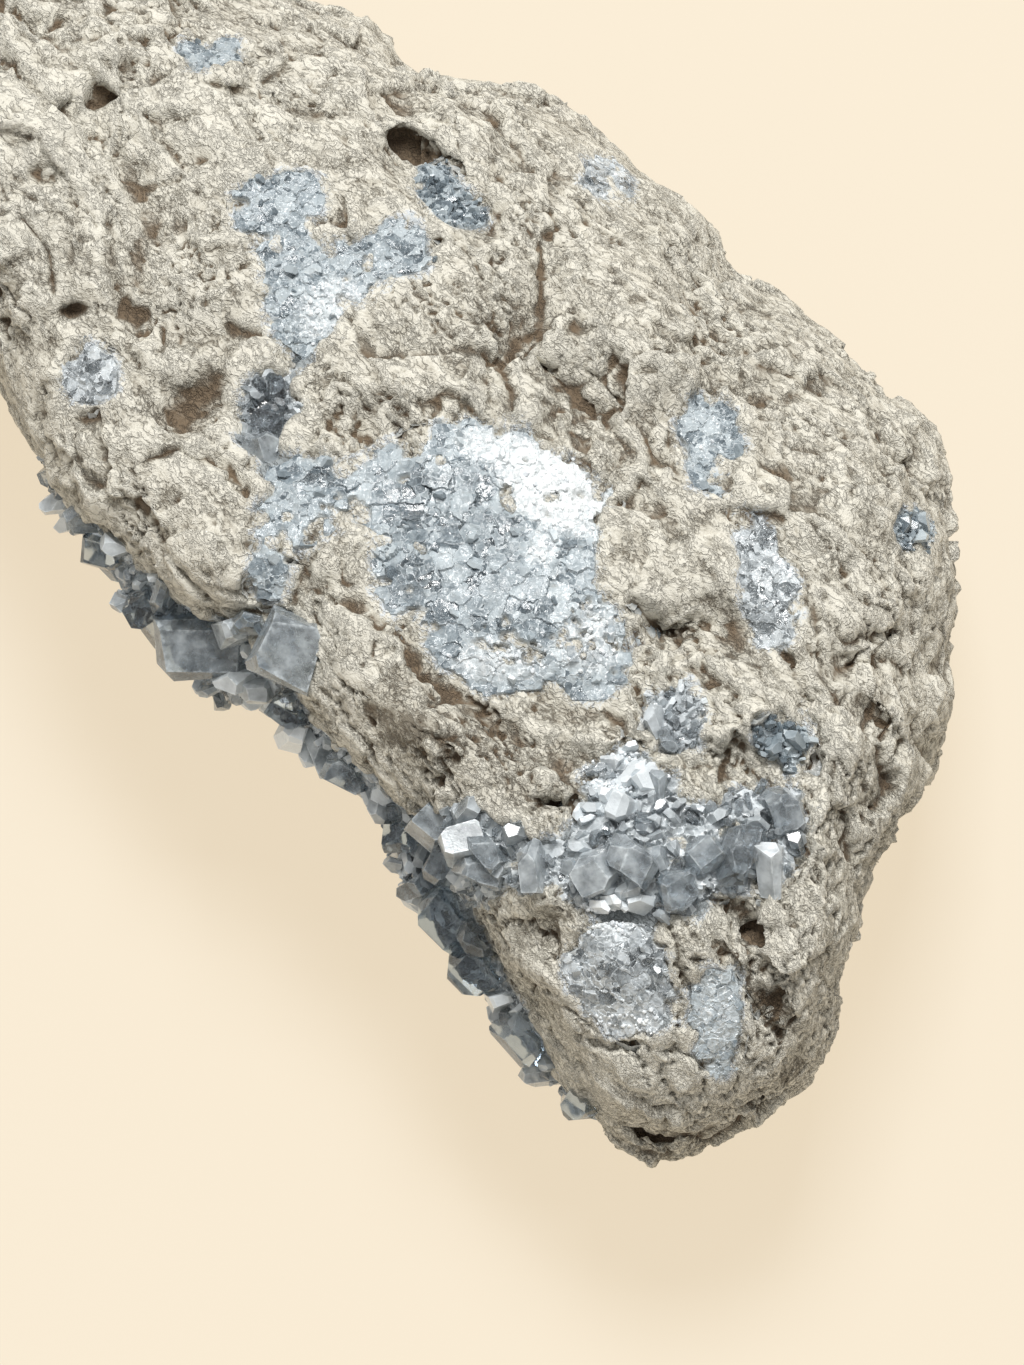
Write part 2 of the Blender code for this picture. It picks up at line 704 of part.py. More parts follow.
def add_face_crusts(blue, pale, rock, sockets):
    """The separate crusts on the face, from their outlines in the view."""
    central = ((-17, 22), (-16, 27), (-11, 30), (-4, 30.5), (2, 29), (8, 26.5), (12, 23), (10, 18),
               (9.5, 14), (11, 10), (15.5, 4.5), (11, -1.5), (5, -0.5), (-1, -1), (-6, 0.5),
               (-9.5, 5), (-11, 9), (-13, 14))
    central_lobe = ((-16.5, 15), (-13, 17), (-7, 14), (-6, 8), (-10, 7), (-15.5, 10))
    left_vein = ((-28.5, 26), (-25, 27), (-19, 25), (-15, 24), (-15, 19.5), (-20, 19), (-25, 17.5),
                 (-29, 20))
    side_vein = ((-29.5, 22), (-27, 22), (-27.4, 16), (-29, 10), (-30.8, 10.6), (-29.8, 16))
    patch = [central, central_lobe, left_vein, side_vein]
    face_crust("central_patch", pale, rock, sockets, patch, 4.8, 4.8)

    butterfly = ((-33.4, 60.4), (-30, 61.6), (-28.3, 60.2), (-25.3, 61.7), (-23.4, 59), (-25, 55.5),
                 (-24.6, 52), (-27, 49), (-30, 52.6), (-32.8, 56))
    triangle = ((-28.4, 51), (-24, 51.4), (-19, 53), (-14, 56), (-10, 53.6), (-11, 51), (-16, 49),
                (-20, 46), (-22.4, 42.4), (-25.4, 39.6), (-28, 43), (-29.4, 47.6))
    face_crust("upper_vein", pale, rock, sockets, [butterfly, triangle], 2.8, 3.2, seed=2)

    knot = ((-30, 37), (-27.4, 38), (-26.6, 34), (-27, 30), (-29, 28), (-32, 29), (-32.6, 31.6),
            (-31, 34))
    face_crust("crystal_knot", blue, rock, sockets, [knot], 3.0, 2.5, seed=3)

    pear = ((9.6, -28.8), (13, -28.4), (16.4, -29.2), (17.2, -33.4), (18.4, -38), (15.4, -41.6),
            (10.6, -40.6), (7.6, -37), (6, -34), (8, -31))
    face_crust("pear_patch", blue, rock, sockets, [pear], 3.4, 3.4, seed=5)

    slim = ((22.6, -34.4), (25.6, -35), (27.2, -39.4), (26.4, -44), (24.6, -46), (22.6, -44),
            (21.4, -39.4))
    face_crust("slim_patch", pale, rock, sockets, [slim], 2.2, 2.4, seed=6)

    upper_right = ((21, 33.6), (24, 34.4), (26.6, 32), (26.8, 26), (25.4, 23), (22.6, 24),
                   (21.2, 28.4))
    face_crust("right_patch", pale, rock, sockets, [upper_right], 2.0, 2.6, seed=7)

    lower_right = ((27.4, 19.8), (30, 20), (31.4, 15.4), (33.6, 11), (33, 6), (30, 4.8), (28.4, 9),
                   (28, 14.6))
    face_crust("right_vein", blue, rock, sockets, [lower_right], 2.4, 2.5, seed=8)

    crevice = ((17.4, -1.4), (20, 0), (21.4, -3), (20.6, -8.6), (18.2, -9), (17, -5))
    face_crust("crevice_crystals", blue, rock, sockets, [crevice], 2.4, 2.4, seed=9)

    pocket = ((-54, 38), (-51.6, 40.4), (-49, 39), (-48.8, 35.6), (-51, 34), (-53.8, 35.4))
    face_crust("left_pocket", blue, rock, sockets, [pocket], 2.4, 2.3, seed=10)

    beads = ((-11.4, 61.4), (-9.4, 62), (-6, 58.4), (-3.6, 57.4), (-4, 55.6), (-7.4, 56), (-10.4, 59))
    face_crust("groove_beads", pale, rock, sockets, [beads], 1.7, 2.2, seed=11)

    pebbles = ((46.6, 19.4), (48.4, 20), (50, 18.6), (49.6, 16.8), (47.8, 16.4), (46.4, 17.4))
    face_crust("right_pocket_beads", pale, rock, sockets, [pebbles], 1.7, 1.9, seed=12)

    top_left = ((-39.6, 78.2), (-36.4, 79), (-33.8, 78), (-34, 75.8), (-36.6, 75.2), (-39.4, 76))
    face_crust("top_patch", pale, rock, sockets, [top_left], 1.8, 2.2, seed=13)

    rim_dark = ((9.8, 63.4), (12, 64.4), (13.8, 62.4), (13.8, 60), (11.6, 59), (9.8, 60.6))
    face_crust("rim_crystals", blue, rock, sockets, [rim_dark], 2.2, 2.3, seed=14)

    single = ((30.4, -4.8), (33.4, -4.6), (34.6, -8), (33.6, -10.4), (31, -10.4), (30, -7.6))
    face_crust("block_crystals", pale, rock, sockets, [single], 2.2, 2.4, seed=15)


# The block that cuts the underside level where the rock rests, in metres
BELOW_SIDES = (0.4, 0.4)
BELOW_DEPTH = 0.1


def clear_scene():
    for thing in list(bpy.data.objects):
        bpy.data.objects.remove(thing)


def main():
    clear_scene()
    stone = principled("matrix_rock", (0.50, 0.46, 0.39), 0.9)
    blue = principled("celestite_blue", (0.50, 0.58, 0.66), 0.15)
    pale = principled("celestite_pale", (0.78, 0.82, 0.86), 0.25)
    mesh = rock_mesh()
    rock = Rock(mesh)
    matrix = add_object("matrix", mesh, stone)
    lower_detail = matrix.modifiers.new("Broad facets", "DECIMATE")
    lower_detail.ratio = ROCK_DETAIL
    sockets = []
    add_druse(blue, rock, sockets)
    add_face_crusts(blue, pale, rock, sockets)
    below = bmesh.new()
    middle = Matrix.Translation((0, 0, -BELOW_DEPTH / 2))
    sides = Matrix.Diagonal((*BELOW_SIDES, BELOW_DEPTH, 1))
    bmesh.ops.create_cube(below, size=1, matrix=middle @ sides)
    sockets.append(add_object("below_resting_plane", below))
    for socket in sockets:
        combine(matrix, socket, "DIFFERENCE")
    settle(matrix)
    for socket in sockets:
        bpy.data.objects.remove(socket)


main()
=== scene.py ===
"""Celestite druse on its matrix rock: the looks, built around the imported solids."""

import json
import math
import random
from itertools import combinations

import bpy
import numpy as np
from mathutils import Matrix, Vector, noise
from mathutils.bvhtree import BVHTree

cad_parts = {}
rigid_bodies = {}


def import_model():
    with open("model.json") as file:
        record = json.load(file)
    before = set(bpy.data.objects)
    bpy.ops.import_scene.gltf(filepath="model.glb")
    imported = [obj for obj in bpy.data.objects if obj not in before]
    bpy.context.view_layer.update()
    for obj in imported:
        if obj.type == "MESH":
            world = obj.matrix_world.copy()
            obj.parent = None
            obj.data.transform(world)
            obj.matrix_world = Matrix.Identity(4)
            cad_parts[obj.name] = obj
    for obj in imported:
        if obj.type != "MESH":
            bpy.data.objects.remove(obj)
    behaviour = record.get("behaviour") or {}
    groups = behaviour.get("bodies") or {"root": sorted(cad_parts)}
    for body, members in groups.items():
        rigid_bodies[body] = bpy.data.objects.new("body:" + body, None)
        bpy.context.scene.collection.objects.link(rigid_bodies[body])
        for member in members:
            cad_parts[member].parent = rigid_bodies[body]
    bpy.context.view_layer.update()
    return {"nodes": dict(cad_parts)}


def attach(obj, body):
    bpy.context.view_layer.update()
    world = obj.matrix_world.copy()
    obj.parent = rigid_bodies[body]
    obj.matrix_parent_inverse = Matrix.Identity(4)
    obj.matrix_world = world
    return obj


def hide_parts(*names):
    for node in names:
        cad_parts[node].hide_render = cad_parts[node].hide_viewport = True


for startup in list(bpy.data.objects):
    bpy.data.objects.remove(startup)
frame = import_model()

# The matrix rock: one lump of fine-grained grey-beige marl, broken from its bed and weathered.
# Its face is lumpy, with clefts, small pits and a streaky grain that runs down to the right. It is
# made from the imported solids: filled to one skin, calmed where crystals grow, carved and weathered.
MM = 0.001
VIEW_ELEVATION = math.radians(65)
CENTRE_ACROSS = -15.0
CENTRE_DEPTH = 14.0
TOWARD_VIEW = np.array((0, -math.cos(VIEW_ELEVATION), math.sin(VIEW_ELEVATION)))
SAME_PLACE = 0.001 * MM
BLANK_VOXEL = 0.72 * MM
CRUST_REACH = 8 * MM
BED_DROP = 0.95
ROCK_DROP = 1.1
SKIN_TRIANGLES = 196000


def place(across, up, height):
    """A point of the view, in millimetres, as a point of the model."""
    depth = up / math.sin(VIEW_ELEVATION) - height / math.tan(VIEW_ELEVATION)
    return Vector((across - CENTRE_ACROSS, depth - CENTRE_DEPTH, height)) * MM


def in_view(points):
    """How far across and up the view, in millimetres, points of the model are."""
    depth = points[:, 1] / MM + CENTRE_DEPTH
    up = (depth + points[:, 2] / MM / math.tan(VIEW_ELEVATION)) * math.sin(VIEW_ELEVATION)
    return np.stack([points[:, 0] / MM + CENTRE_ACROSS, up], 1)


def new_object(name, mesh):
    """An object at the origin with this mesh."""
    made = bpy.data.objects.new(name, mesh)
    bpy.context.scene.collection.objects.link(made)
    return made


def packed(nodes):
    """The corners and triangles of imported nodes, and for each triangle the number of its node."""
    points, triangles, owners = [], [], []
    for number, node in enumerate(nodes):
        mesh = frame["nodes"][node].data
        first = len(points)
        points += [corner.co.copy() for corner in mesh.vertices]
        triangles += [[first + k for k in face.vertices] for face in mesh.polygons]
        owners += [number] * len(mesh.polygons)
    return points, triangles, owners


def settle(made):
    """Turns an object's modifiers into plain mesh."""
    bpy.context.view_layer.update()
    graph = bpy.context.evaluated_depsgraph_get()
    mesh = bpy.data.meshes.new_from_object(made.evaluated_get(graph))
    made.modifiers.clear()
    made.data = mesh


def corners(mesh):
    """The mesh's corners as an array."""
    found = np.empty(len(mesh.vertices) * 3)
    mesh.vertices.foreach_get("co", found)
    return found.reshape(-1, 3)


def normals(mesh):
    """The directions in which the mesh's corners face, as an array."""
    found = np.empty(len(mesh.vertices) * 3)
    mesh.vertex_normals.foreach_get("vector", found)
    return found.reshape(-1, 3)


def edge_pairs(mesh):
    """The mesh's edges as pairs of corner numbers."""
    found = np.empty(len(mesh.edges) * 2, np.int32)
    mesh.edges.foreach_get("vertices", found)
    return found.reshape(-1, 2)


def move(mesh, points):
    """Puts the mesh's corners at these points."""
    mesh.vertices.foreach_set("co", points.astype(np.float32).ravel())
    mesh.update()


def give(mesh, name, values):
    """Keeps a value for each corner in the mesh."""
    layer = mesh.attributes.get(name) or mesh.attributes.new(name, "FLOAT", "POINT")
    layer.data.foreach_set("value", values.astype(np.float32))


def kept(mesh, name):
    """The values kept in the mesh under a name."""
    found = np.empty(len(mesh.vertices), np.float32)
    mesh.attributes[name].data.foreach_get("value", found)
    return found


def relaxed(points, pairs, share, rounds):
    """The points after they have moved, round by round, towards the middle of their neighbours."""
    ends, others = np.concatenate([pairs, pairs[:, ::-1]]).T
    count = np.bincount(ends, minlength=len(points))[:, None]
    for _ in range(rounds):
        total = [np.bincount(ends, points[others, axis], len(points)) for axis in range(3)]
        points = points + share * (np.stack(total, 1) / count - points)
    return points


def rise(values, low, high):
    """0 below low, 1 above high and a smooth rise between them."""
    share = np.clip((values - low) / (high - low), 0, 1)
    return share * share * (3 - 2 * share)


def bowl(spots, across, up, half_length, half_width, turn):
    """1 in the middle of a turned oval of the view and 0 at its edge."""
    angle = math.radians(turn)
    away = spots - (across, up)
    along = away[:, 0] * math.cos(angle) + away[:, 1] * math.sin(angle)
    aside = away[:, 1] * math.cos(angle) - away[:, 0] * math.sin(angle)
    share = (along / half_length) ** 2 + (aside / half_width) ** 2
    return np.clip(1 - share, 0, 1) ** 1.5


def clouds(points, size):
    """Cloudy noise of this size in millimetres at each point, from about -0.5 to 0.5."""
    return np.array([noise.noise(Vector(point) / (size * MM)) for point in points])


# Where bare rock shows through a crust: across, up, half length, half width and turn of the spot
BARE = (
    (2.0, 4.0, 14, 5.5, -8),
    (10.0, 9.0, 7, 6, 0),
    (-12.0, 7.0, 5, 3, 30),
    (-19.0, 21.5, 7, 2.5, -20),
    (26.0, 24.0, 5, 5, 0),
    (-21.0, 12.0, 4, 8, 0),
    (12.5, 21.0, 4, 9, 25),
)
crusts = sorted(name for name in frame["nodes"] if name != "matrix")
crust_corners, crust_triangles, crust_owners = packed(crusts)
crust_tree = BVHTree.FromPolygons(crust_corners, crust_triangles)

whole_corners, whole_triangles, _ = packed(["matrix", *crusts])
blank_mesh = bpy.data.meshes.new("rock")
blank_mesh.from_pydata(whole_corners, [], whole_triangles)
rock = new_object("rock", blank_mesh)
weld = rock.modifiers.new("merge corners", "WELD")
weld.merge_threshold = SAME_PLACE
remesh = rock.modifiers.new("one skin", "REMESH")
remesh.mode = "VOXEL"
remesh.voxel_size = BLANK_VOXEL
settle(rock)

# How far each corner of the skin is from the nearest crust, in millimetres, and which crust it is
skin = corners(rock.data)
pairs = edge_pairs(rock.data)
crust_away = np.full(len(skin), np.inf)
crust_number = np.full(len(skin), -1)
for k, point in enumerate(skin):
    _, _, face, away = crust_tree.find_nearest(Vector(point), CRUST_REACH)
    if face is not None:
        crust_away[k] = away / MM
        crust_number[k] = crust_owners[face]

# The whole skin is evened out a little, and the ground under the crusts much more
skin = relaxed(skin, pairs, 0.5, 9)
skin = relaxed(skin, pairs, 0.6 * (1 - rise(crust_away, 0.7, 1.7))[:, None], 90)
move(rock.data, skin)
bed_faces = [tuple(face.vertices) for face in rock.data.polygons]

# How far inside a crust each corner is, from 0 to 1, first smoothly and then with a ragged edge.
# The ground drops under a crust, and the rock's own skin drops below that ground.
covered = 1 - rise(crust_away, 0.5, 1.5)
inward = relaxed(np.repeat(covered[:, None], 3, axis=1), pairs, 0.6, 14)[:, 0]
on_face = rise(normals(rock.data) @ TOWARD_VIEW, 0.45, 0.75)
small, middling, wide = (clouds(skin, size) for size in (1.1, 2.6, 6.0))
bare = sum(bowl(in_view(skin), *oval) for oval in BARE) * rise(middling + 0.6 * small, -0.05, 0.2)
frayed = 0.3 * small + 0.8 * middling + 0.4 * wide
ragged = inward + frayed * rise(inward, 0.02, 0.3) - 0.9 * bare
drop = BED_DROP * on_face * rise(inward, 0.25, 0.8) * MM
bed_skin = skin - normals(rock.data) * drop[:, None]
drop = ROCK_DROP * rise(np.minimum(inward, ragged), 0.4, 0.9) * MM
skin = bed_skin - normals(rock.data) * drop[:, None]
move(rock.data, skin)
give(rock.data, "crust", ragged)
finer = rock.modifiers.new("finer", "SUBSURF")
finer.levels = finer.render_levels = 1
settle(rock)

# Sharp cracks in the face: half width, depth, then the points along them, across and up the view
CRACKS = (
    (0.45, 1.1, ((-38, 73), (-30, 71.7), (-27.2, 69.9), (-20, 68.7))),
    (1.2, 2.2, ((-52.4, 67), (-48.2, 60), (-48, 51), (-46.4, 45), (-43.4, 43.5))),
    (0.45, 1.4, ((3.4, 54), (3.4, 47), (3.4, 42.3), (0.4, 40.5))),
    (0.5, 1.2, ((-13.4, 17.1), (-11, 15.4), (-8.6, 14.7))),
    (1.5, 2.6, ((1, 41), (7.4, 35), (12.4, 30), (15, 25.6))),
    (1.0, 2.2, ((40, -1), (44.8, -5.7), (50.2, -9.3))),
    (1.1, 2.4, ((13, 9.9), (20.2, 5.1), (28, 2.7))),
    (0.6, 1.8, ((34.6, -0.9), (36.4, -6), (36.4, -11.7))),
    (0.7, 1.6, ((-3.8, -32), (0.5, -40), (5.8, -50))),
    (0.6, 1.4, ((1, -33.3), (3.8, -39.3), (6.7, -44.2), (9.5, -47))),
    (0.4, 1.3, ((19.3, -29.5), (19.7, -33.7), (21.5, -37.1))),
    (0.5, 1.4, ((17.9, -42.4), (22.2, -44.9), (24.2, -46))),
    (0.5, 1.2, ((-27.4, 25), (-28.2, 20), (-27.6, 15), (-30, 9))),
    (0.5, 1.2, ((-46, 23), (-40, 14), (-35, 8.6), (-28, 8.2))),
    (0.5, 1.3, ((20, -24), (27, -27), (29.5, -31))),
    (0.45, 1.0, ((-60, 57), (-56, 52), (-55, 46))),
    (1.5, 3.2, ((-15, 67.4), (-11.6, 64.8), (-8.2, 62.4), (-5.6, 61))),
    (0.8, 1.6, ((-45, 26.5), (-40, 27.6), (-34, 25), (-30, 26))),
    (0.5, 1.1, ((30, 14), (31, 6), (34, 0))),
    (0.4, 1.0, ((-35, 43), (-30, 41.5), (-26, 42))),
    (0.6, 2.8, (
        (9.5, -48.6), (13.4, -52.4), (17.8, -54.2), (22, -53.2), (26.2, -51.6), (34, -46.4),
    )),
    (0.5, 2.0, ((26, -33), (30.4, -37.4), (35.4, -43))),
    (0.45, 1.6, ((23.4, -29.6), (27.4, -36), (32.8, -43.4))),
    (0.45, 1.6, ((7.4, -41.4), (11.6, -43.2), (16.4, -42.6))),
)
# Small holes in the face: across, up, half length, half width, turn, depth
HOLES = (
    (-8.9, 53.3, 0.9, 0.8, 0, 2.8),
    (-27.5, 47.9, 1.0, 0.8, 30, 2.4),
    (-30, 35.3, 1.1, 0.9, 0, 2.4),
    (-57, 61.5, 2.4, 1.7, -20, 1.6),
    (40, 1.7, 1.8, 1.0, 40, 1.8),
    (44.8, 5.7, 2.0, 1.1, 40, 1.8),
    (43.2, -4.7, 1.8, 1.2, 60, 1.6),
    (48, -3.9, 1.0, 0.9, 0, 1.4),
    (34, -50.7, 3.0, 1.5, 20, 1.6),
    (18.7, -14.7, 3.6, 1.2, 5, 2.6),
    (5.2, -14.7, 4.0, 1.8, -10, 1.8),
    (15.4, -51.3, 5.0, 1.6, -10, 1.6),
    (-53, 45, 2.2, 0.9, 10, 1.6),
    (-51.2, 32.1, 1.9, 1.0, 10, 1.4),
    (48.4, 18.5, 1.8, 2.2, 0, 1.6),
    (41, 23, 1.5, 1.0, 40, 1.4),
)
# Where the stone's tone changes: patches of bleaching and brown weathering, painted light on faces
# turned from the lamp, and painted shade along cracks and in holes: across, up, half length, half
# width, turn, change of tone
TONES = (
    (-54, 68, 16, 12, -30, 0.34),
    (-32, 66, 18, 10, -20, 0.26),
    (14, -46, 16, 8, -10, 0.52),
    (18, -57, 14, 3.5, 20, -0.3),
    (-2, 43, 11, 8, 0, -0.24),
    (30, -30, 10, 14, 0, 0.2),
    (-7, -5, 13, 7, -32, -0.42),
    (-13, -5, 9, 4, -35, -0.28),
    (28, -3, 7, 7, 0, 0.12),
    (-22, 5, 7, 7, 0, 0.12),
    (4, -13, 7, 4, 0, -0.36),
    (16, -51, 8, 3, -10, -0.2),
    (40, 4, 8, 6, 40, -0.1),
    (28, 38, 10, 18, -30, -0.08),
    (19, -53.6, 9, 1.3, 5, -0.4),
    (33, -46.4, 4.5, 1.3, 45, -0.4),
    (-38, 35, 9, 6, 20, -0.08),
    (-50, 52, 4, 14, 10, -0.1),
    (-8, 62, 8, 3, -35, -0.2),
    (7, 32, 10, 3, -50, -0.18),
    (21, 5, 9, 3, -15, -0.15),
    (4, 60, 10, 8, -30, -0.06),
)


def away_from_line(spots, line):
    """How far spots of the view are from a line, and their nearest points from its ends."""
    best = np.full(len(spots), 1e9)
    from_ends = np.zeros(len(spots))
    runs = [math.dist(start, end) for start, end in zip(line, line[1:])]
    for number, (start, end) in enumerate(zip(line, line[1:])):
        start = np.array(start)
        along = (np.array(end) - start) / runs[number]
        reach = np.clip((spots - start) @ along, 0, runs[number])
        away = np.linalg.norm(spots - start - reach[:, None] * along, axis=1)
        done = sum(runs[:number]) + reach
        nearer = away < best
        best = np.where(nearer, away, best)
        from_ends = np.where(nearer, np.minimum(done, sum(runs) - done), from_ends)
    return best, from_ends


class Flow:
    """One output of a node. Python's own signs work on it, and each adds the node for its sum."""

    def __init__(self, tree, socket=None):
        self.tree = tree
        self.socket = socket

    def node(self, kind, settings=None, inputs=None, output=0):
        """A new node of any kind: first its settings, then the values or links of its sockets."""
        made = self.tree.nodes.new(kind)
        for name, value in (settings or {}).items():
            if name == "stops":
                for _ in value[2:]:
                    made.color_ramp.elements.new(1)
                for stop, (where, colour) in zip(made.color_ramp.elements, value):
                    stop.position = where
                    stop.color = (*colour, 1)
            else:
                setattr(made, name, value)
        for name, value in (inputs or {}).items():
            if isinstance(value, Flow):
                self.tree.links.new(value.socket, made.inputs[name])
            else:
                made.inputs[name].default_value = value
        return Flow(self.tree, made.outputs[output])

    def other(self, name):
        """Another output of the same node."""
        return Flow(self.tree, self.socket.node.outputs[name])

    def end(self, kind, socket=0):
        """Leads this flow to the tree's output."""
        known = [node for node in self.tree.nodes if node.bl_idname == kind]
        output = known[0] if known else self.tree.nodes.new(kind)
        self.tree.links.new(self.socket, output.inputs[socket])

    def part(self, axis):
        """One part of a vector: X, Y or Z."""
        return self.node("ShaderNodeSeparateXYZ", None, {0: self}, axis)

    def size(self):
        """How far a number is from nought."""
        return self.sum("ABSOLUTE", self)

    def sum(self, operation, *parts):
        """A Math node or, where a part is a vector, a Vector Math node."""
        flows = [part for part in parts if isinstance(part, Flow)]
        if not any(part.socket.type in ("VECTOR", "RGBA") for part in flows):
            return self.node("ShaderNodeMath", {"operation": operation}, dict(enumerate(parts)))
        parts = [part if isinstance(part, (Flow, tuple)) else (part,) * 3 for part in parts]
        return self.node("ShaderNodeVectorMath", {"operation": operation}, dict(enumerate(parts)))

    def __add__(self, other):
        return self.sum("ADD", self, other)

    def __sub__(self, other):
        return self.sum("SUBTRACT", self, other)

    def __mul__(self, other):
        return self.sum("MULTIPLY", self, other)

    def __truediv__(self, other):
        return self.sum("DIVIDE", self, other)

    def __rsub__(self, other):
        return self.sum("SUBTRACT", other, self)

    def __rtruediv__(self, other):
        return self.sum("DIVIDE", other, self)

    __radd__ = __add__
    __rmul__ = __mul__

    def rise(self, low, high):
        """0 below low, 1 above high and a smooth rise between them."""
        settings = {"interpolation_type": "SMOOTHSTEP"}
        return self.node("ShaderNodeMapRange", settings, {0: self, 1: low, 2: high})

    def noise(self, size, detail=2.0, roughness=0.5, output=0):
        """Cloudy noise, from 0 to 1, of this size in millimetres."""
        inputs = {"Vector": self, "Scale": 1 / size, "Detail": detail, "Roughness": roughness}
        return self.node("ShaderNodeTexNoise", None, inputs, output)

    def cells(self, size, feature="F1", output=0):
        """Voronoi cells of this size in millimetres."""
        inputs = {"Vector": self, "Scale": 1 / size}
        return self.node("ShaderNodeTexVoronoi", {"feature": feature}, inputs, output)

    def facet(self, size):
        """Broken planes of this size in millimetres, each tilted its own way, with ledges."""
        cells = self.cells(size)
        away = self - cells.other("Position")
        tilt = cells.other("Color") - 0.5
        return self.sum("DOT_PRODUCT", away, tilt).other("Value")

    def grained(self, angle, stretch):
        """These millimetres, turned on the upright axis and drawn out along the grain."""
        inputs = {"Vector": self, "Axis": (0, 0, 1), "Angle": math.radians(angle)}
        return self.node("ShaderNodeVectorRotate", None, inputs) * (1 / stretch, 1, 0.8)

    def named(self, name, output="Fac"):
        """A value kept in the mesh under a name, in a material."""
        return self.node("ShaderNodeAttribute", {"attribute_name": name}, None, output)

    def in_mesh(self, name):
        """A value kept in the mesh under a name, in a geometry tree."""
        number = {"data_type": "FLOAT"}
        return self.node("GeometryNodeInputNamedAttribute", number, {"Name": name})

    def colours(self, first, second):
        """The first colour where this share is 0 and the second where it is 1."""
        first, second = (c if isinstance(c, Flow) else (*c, 1) for c in (first, second))
        return self.node("ShaderNodeMix", {"data_type": "RGBA"}, {0: self, 6: first, 7: second}, 2)


GRAIN_ANGLE = 47
GRAIN_STRETCH = 4.0


def new_tree(name, sockets):
    """A geometry tree with these named inputs after its mesh, and the flow of its group input."""
    tree = bpy.data.node_groups.new(name, "GeometryNodeTree")
    tree.interface.new_socket("Geometry", in_out="OUTPUT", socket_type="NodeSocketGeometry")
    tree.interface.new_socket("Geometry", in_out="INPUT", socket_type="NodeSocketGeometry")
    for label, kind in sockets:
        tree.interface.new_socket(label, in_out="INPUT", socket_type="NodeSocket" + kind)
    return Flow(tree).node("NodeGroupInput")


def run_tree(made, tree, values):
    """Gives an object a tree with these inputs, and keeps the mesh that it makes."""
    modifier = made.modifiers.new(tree.name, "NODES")
    modifier.node_group = tree
    for item in tree.interface.items_tree:
        if item.in_out == "INPUT" and item.name in values:
            modifier[item.identifier] = values[item.name]
    settle(made)


# How deep the rock's relief goes, in millimetres, and how large its forms are. The tip, from and to
# these millimetres of the model's depth, has fewer knobs and a deeper grain.
RELIEF = {"Lumps": 2.8, "Facets": 0.5, "Knobs": 1.5, "Grain": 0.6, "Cracks": 1.0}
LUMP = 15
KNOB = 5.2
RIDGE = 4.2
BROKEN_PLANE = 8.0
CHIP = 3.6
STREAK = 1.1
CRUMB = 2.0
HAIR_CRACK = 4.6
PIT = 2.3
TIP = (-36, -56)
given = new_tree("weathering", [(name, "Float") for name in RELIEF])
spot = given.node("GeometryNodeInputPosition") * (1 / MM)
tipward = spot.part("Y").rise(*TIP)
wander = spot + (spot.noise(9, 2, output="Color") - 0.5) * 5.0
frayed = wander + (wander.noise(2.2, 3, output="Color") - 0.5) * 1.6
lumps = spot.noise(LUMP, 3) - 0.5
knobs = wander.noise(KNOB, 5, 0.62) - 0.5
ridges = 0.1 - (wander.grained(GRAIN_ANGLE, 2.0).noise(RIDGE, 4, 0.6) - 0.5).size()
facets = frayed.grained(GRAIN_ANGLE, 1.5).facet(BROKEN_PLANE) + frayed.facet(CHIP) * 0.8
broken = 0.35 + spot.noise(22, 1).rise(0.4, 0.66) + spot.part("X").rise(20, 60) * 0.35
broken = broken * (1 - tipward * 0.45)
streaks = wander.grained(GRAIN_ANGLE, GRAIN_STRETCH).noise(STREAK, 4, 0.65) - 0.5
crumbs = (wander.noise(CRUMB, 3, 0.6) - 0.5).size() * -1.2
hair = (wander.grained(GRAIN_ANGLE + 8, 2.6).noise(HAIR_CRACK, 4, 0.6) - 0.5).size()
crack = (1 - hair.rise(0.003, 0.02)) * (spot.noise(11, 1) + tipward * 0.15).rise(0.46, 0.6)
pit_cells = frayed.cells(PIT)
pits = (1 - pit_cells.rise(0.1, 0.32)) * pit_cells.other("Color").part("X").rise(0.78, 0.86)
height = lumps * given.other("Lumps") + facets * broken * given.other("Facets")
height = height + (knobs + ridges * 1.3) * broken * given.other("Knobs")
grained = given.other("Grain") * (1 + tipward * 0.9)
height = height + (streaks + crumbs - pits * 1.2) * grained - crack * given.other("Cracks")
calm = (1 - given.in_mesh("crust").rise(0.2, 0.7) * 0.75) * spot.part("Z").rise(0.2, 5.0)
offset = given.node("GeometryNodeInputNormal") * (height * calm * MM)
weathered = given.node("GeometryNodeSetPosition", None, {"Geometry": given, "Offset": offset})
weathered.end("NodeGroupOutput")

spots = in_view(corners(rock.data))
facing = np.clip(normals(rock.data) @ TOWARD_VIEW, 0, 1)
depth = np.zeros(len(spots))
for half_width, drop, line in CRACKS:
    away, from_ends = away_from_line(spots, line)
    depth += drop * np.exp(-((away / half_width) ** 2)) * rise(from_ends, 0, 2)
for *oval, drop in HOLES:
    depth += drop * bowl(spots, *oval)
carved = corners(rock.data) - TOWARD_VIEW * (depth * facing * MM)[:, None]
move(rock.data, carved)
run_tree(rock, given.tree, RELIEF)
move(rock.data, relaxed(corners(rock.data), edge_pairs(rock.data), 0.4, 1))
thin = rock.modifiers.new("fewer triangles", "DECIMATE")
thin.ratio = SKIN_TRIANGLES / (2 * len(rock.data.polygons))
thin.use_collapse_triangulate = True
settle(rock)

skin = corners(rock.data)
skin[:, 2] = np.maximum(skin[:, 2], 0)
move(rock.data, skin)
pairs = edge_pairs(rock.data)
facing_out = normals(rock.data)
spots = in_view(skin)
# The tone table on the skin: bleaching and weathering, with painted light and painted shade.
give(rock.data, "bleached", sum(change * bowl(spots, *oval) for *oval, change in TONES))
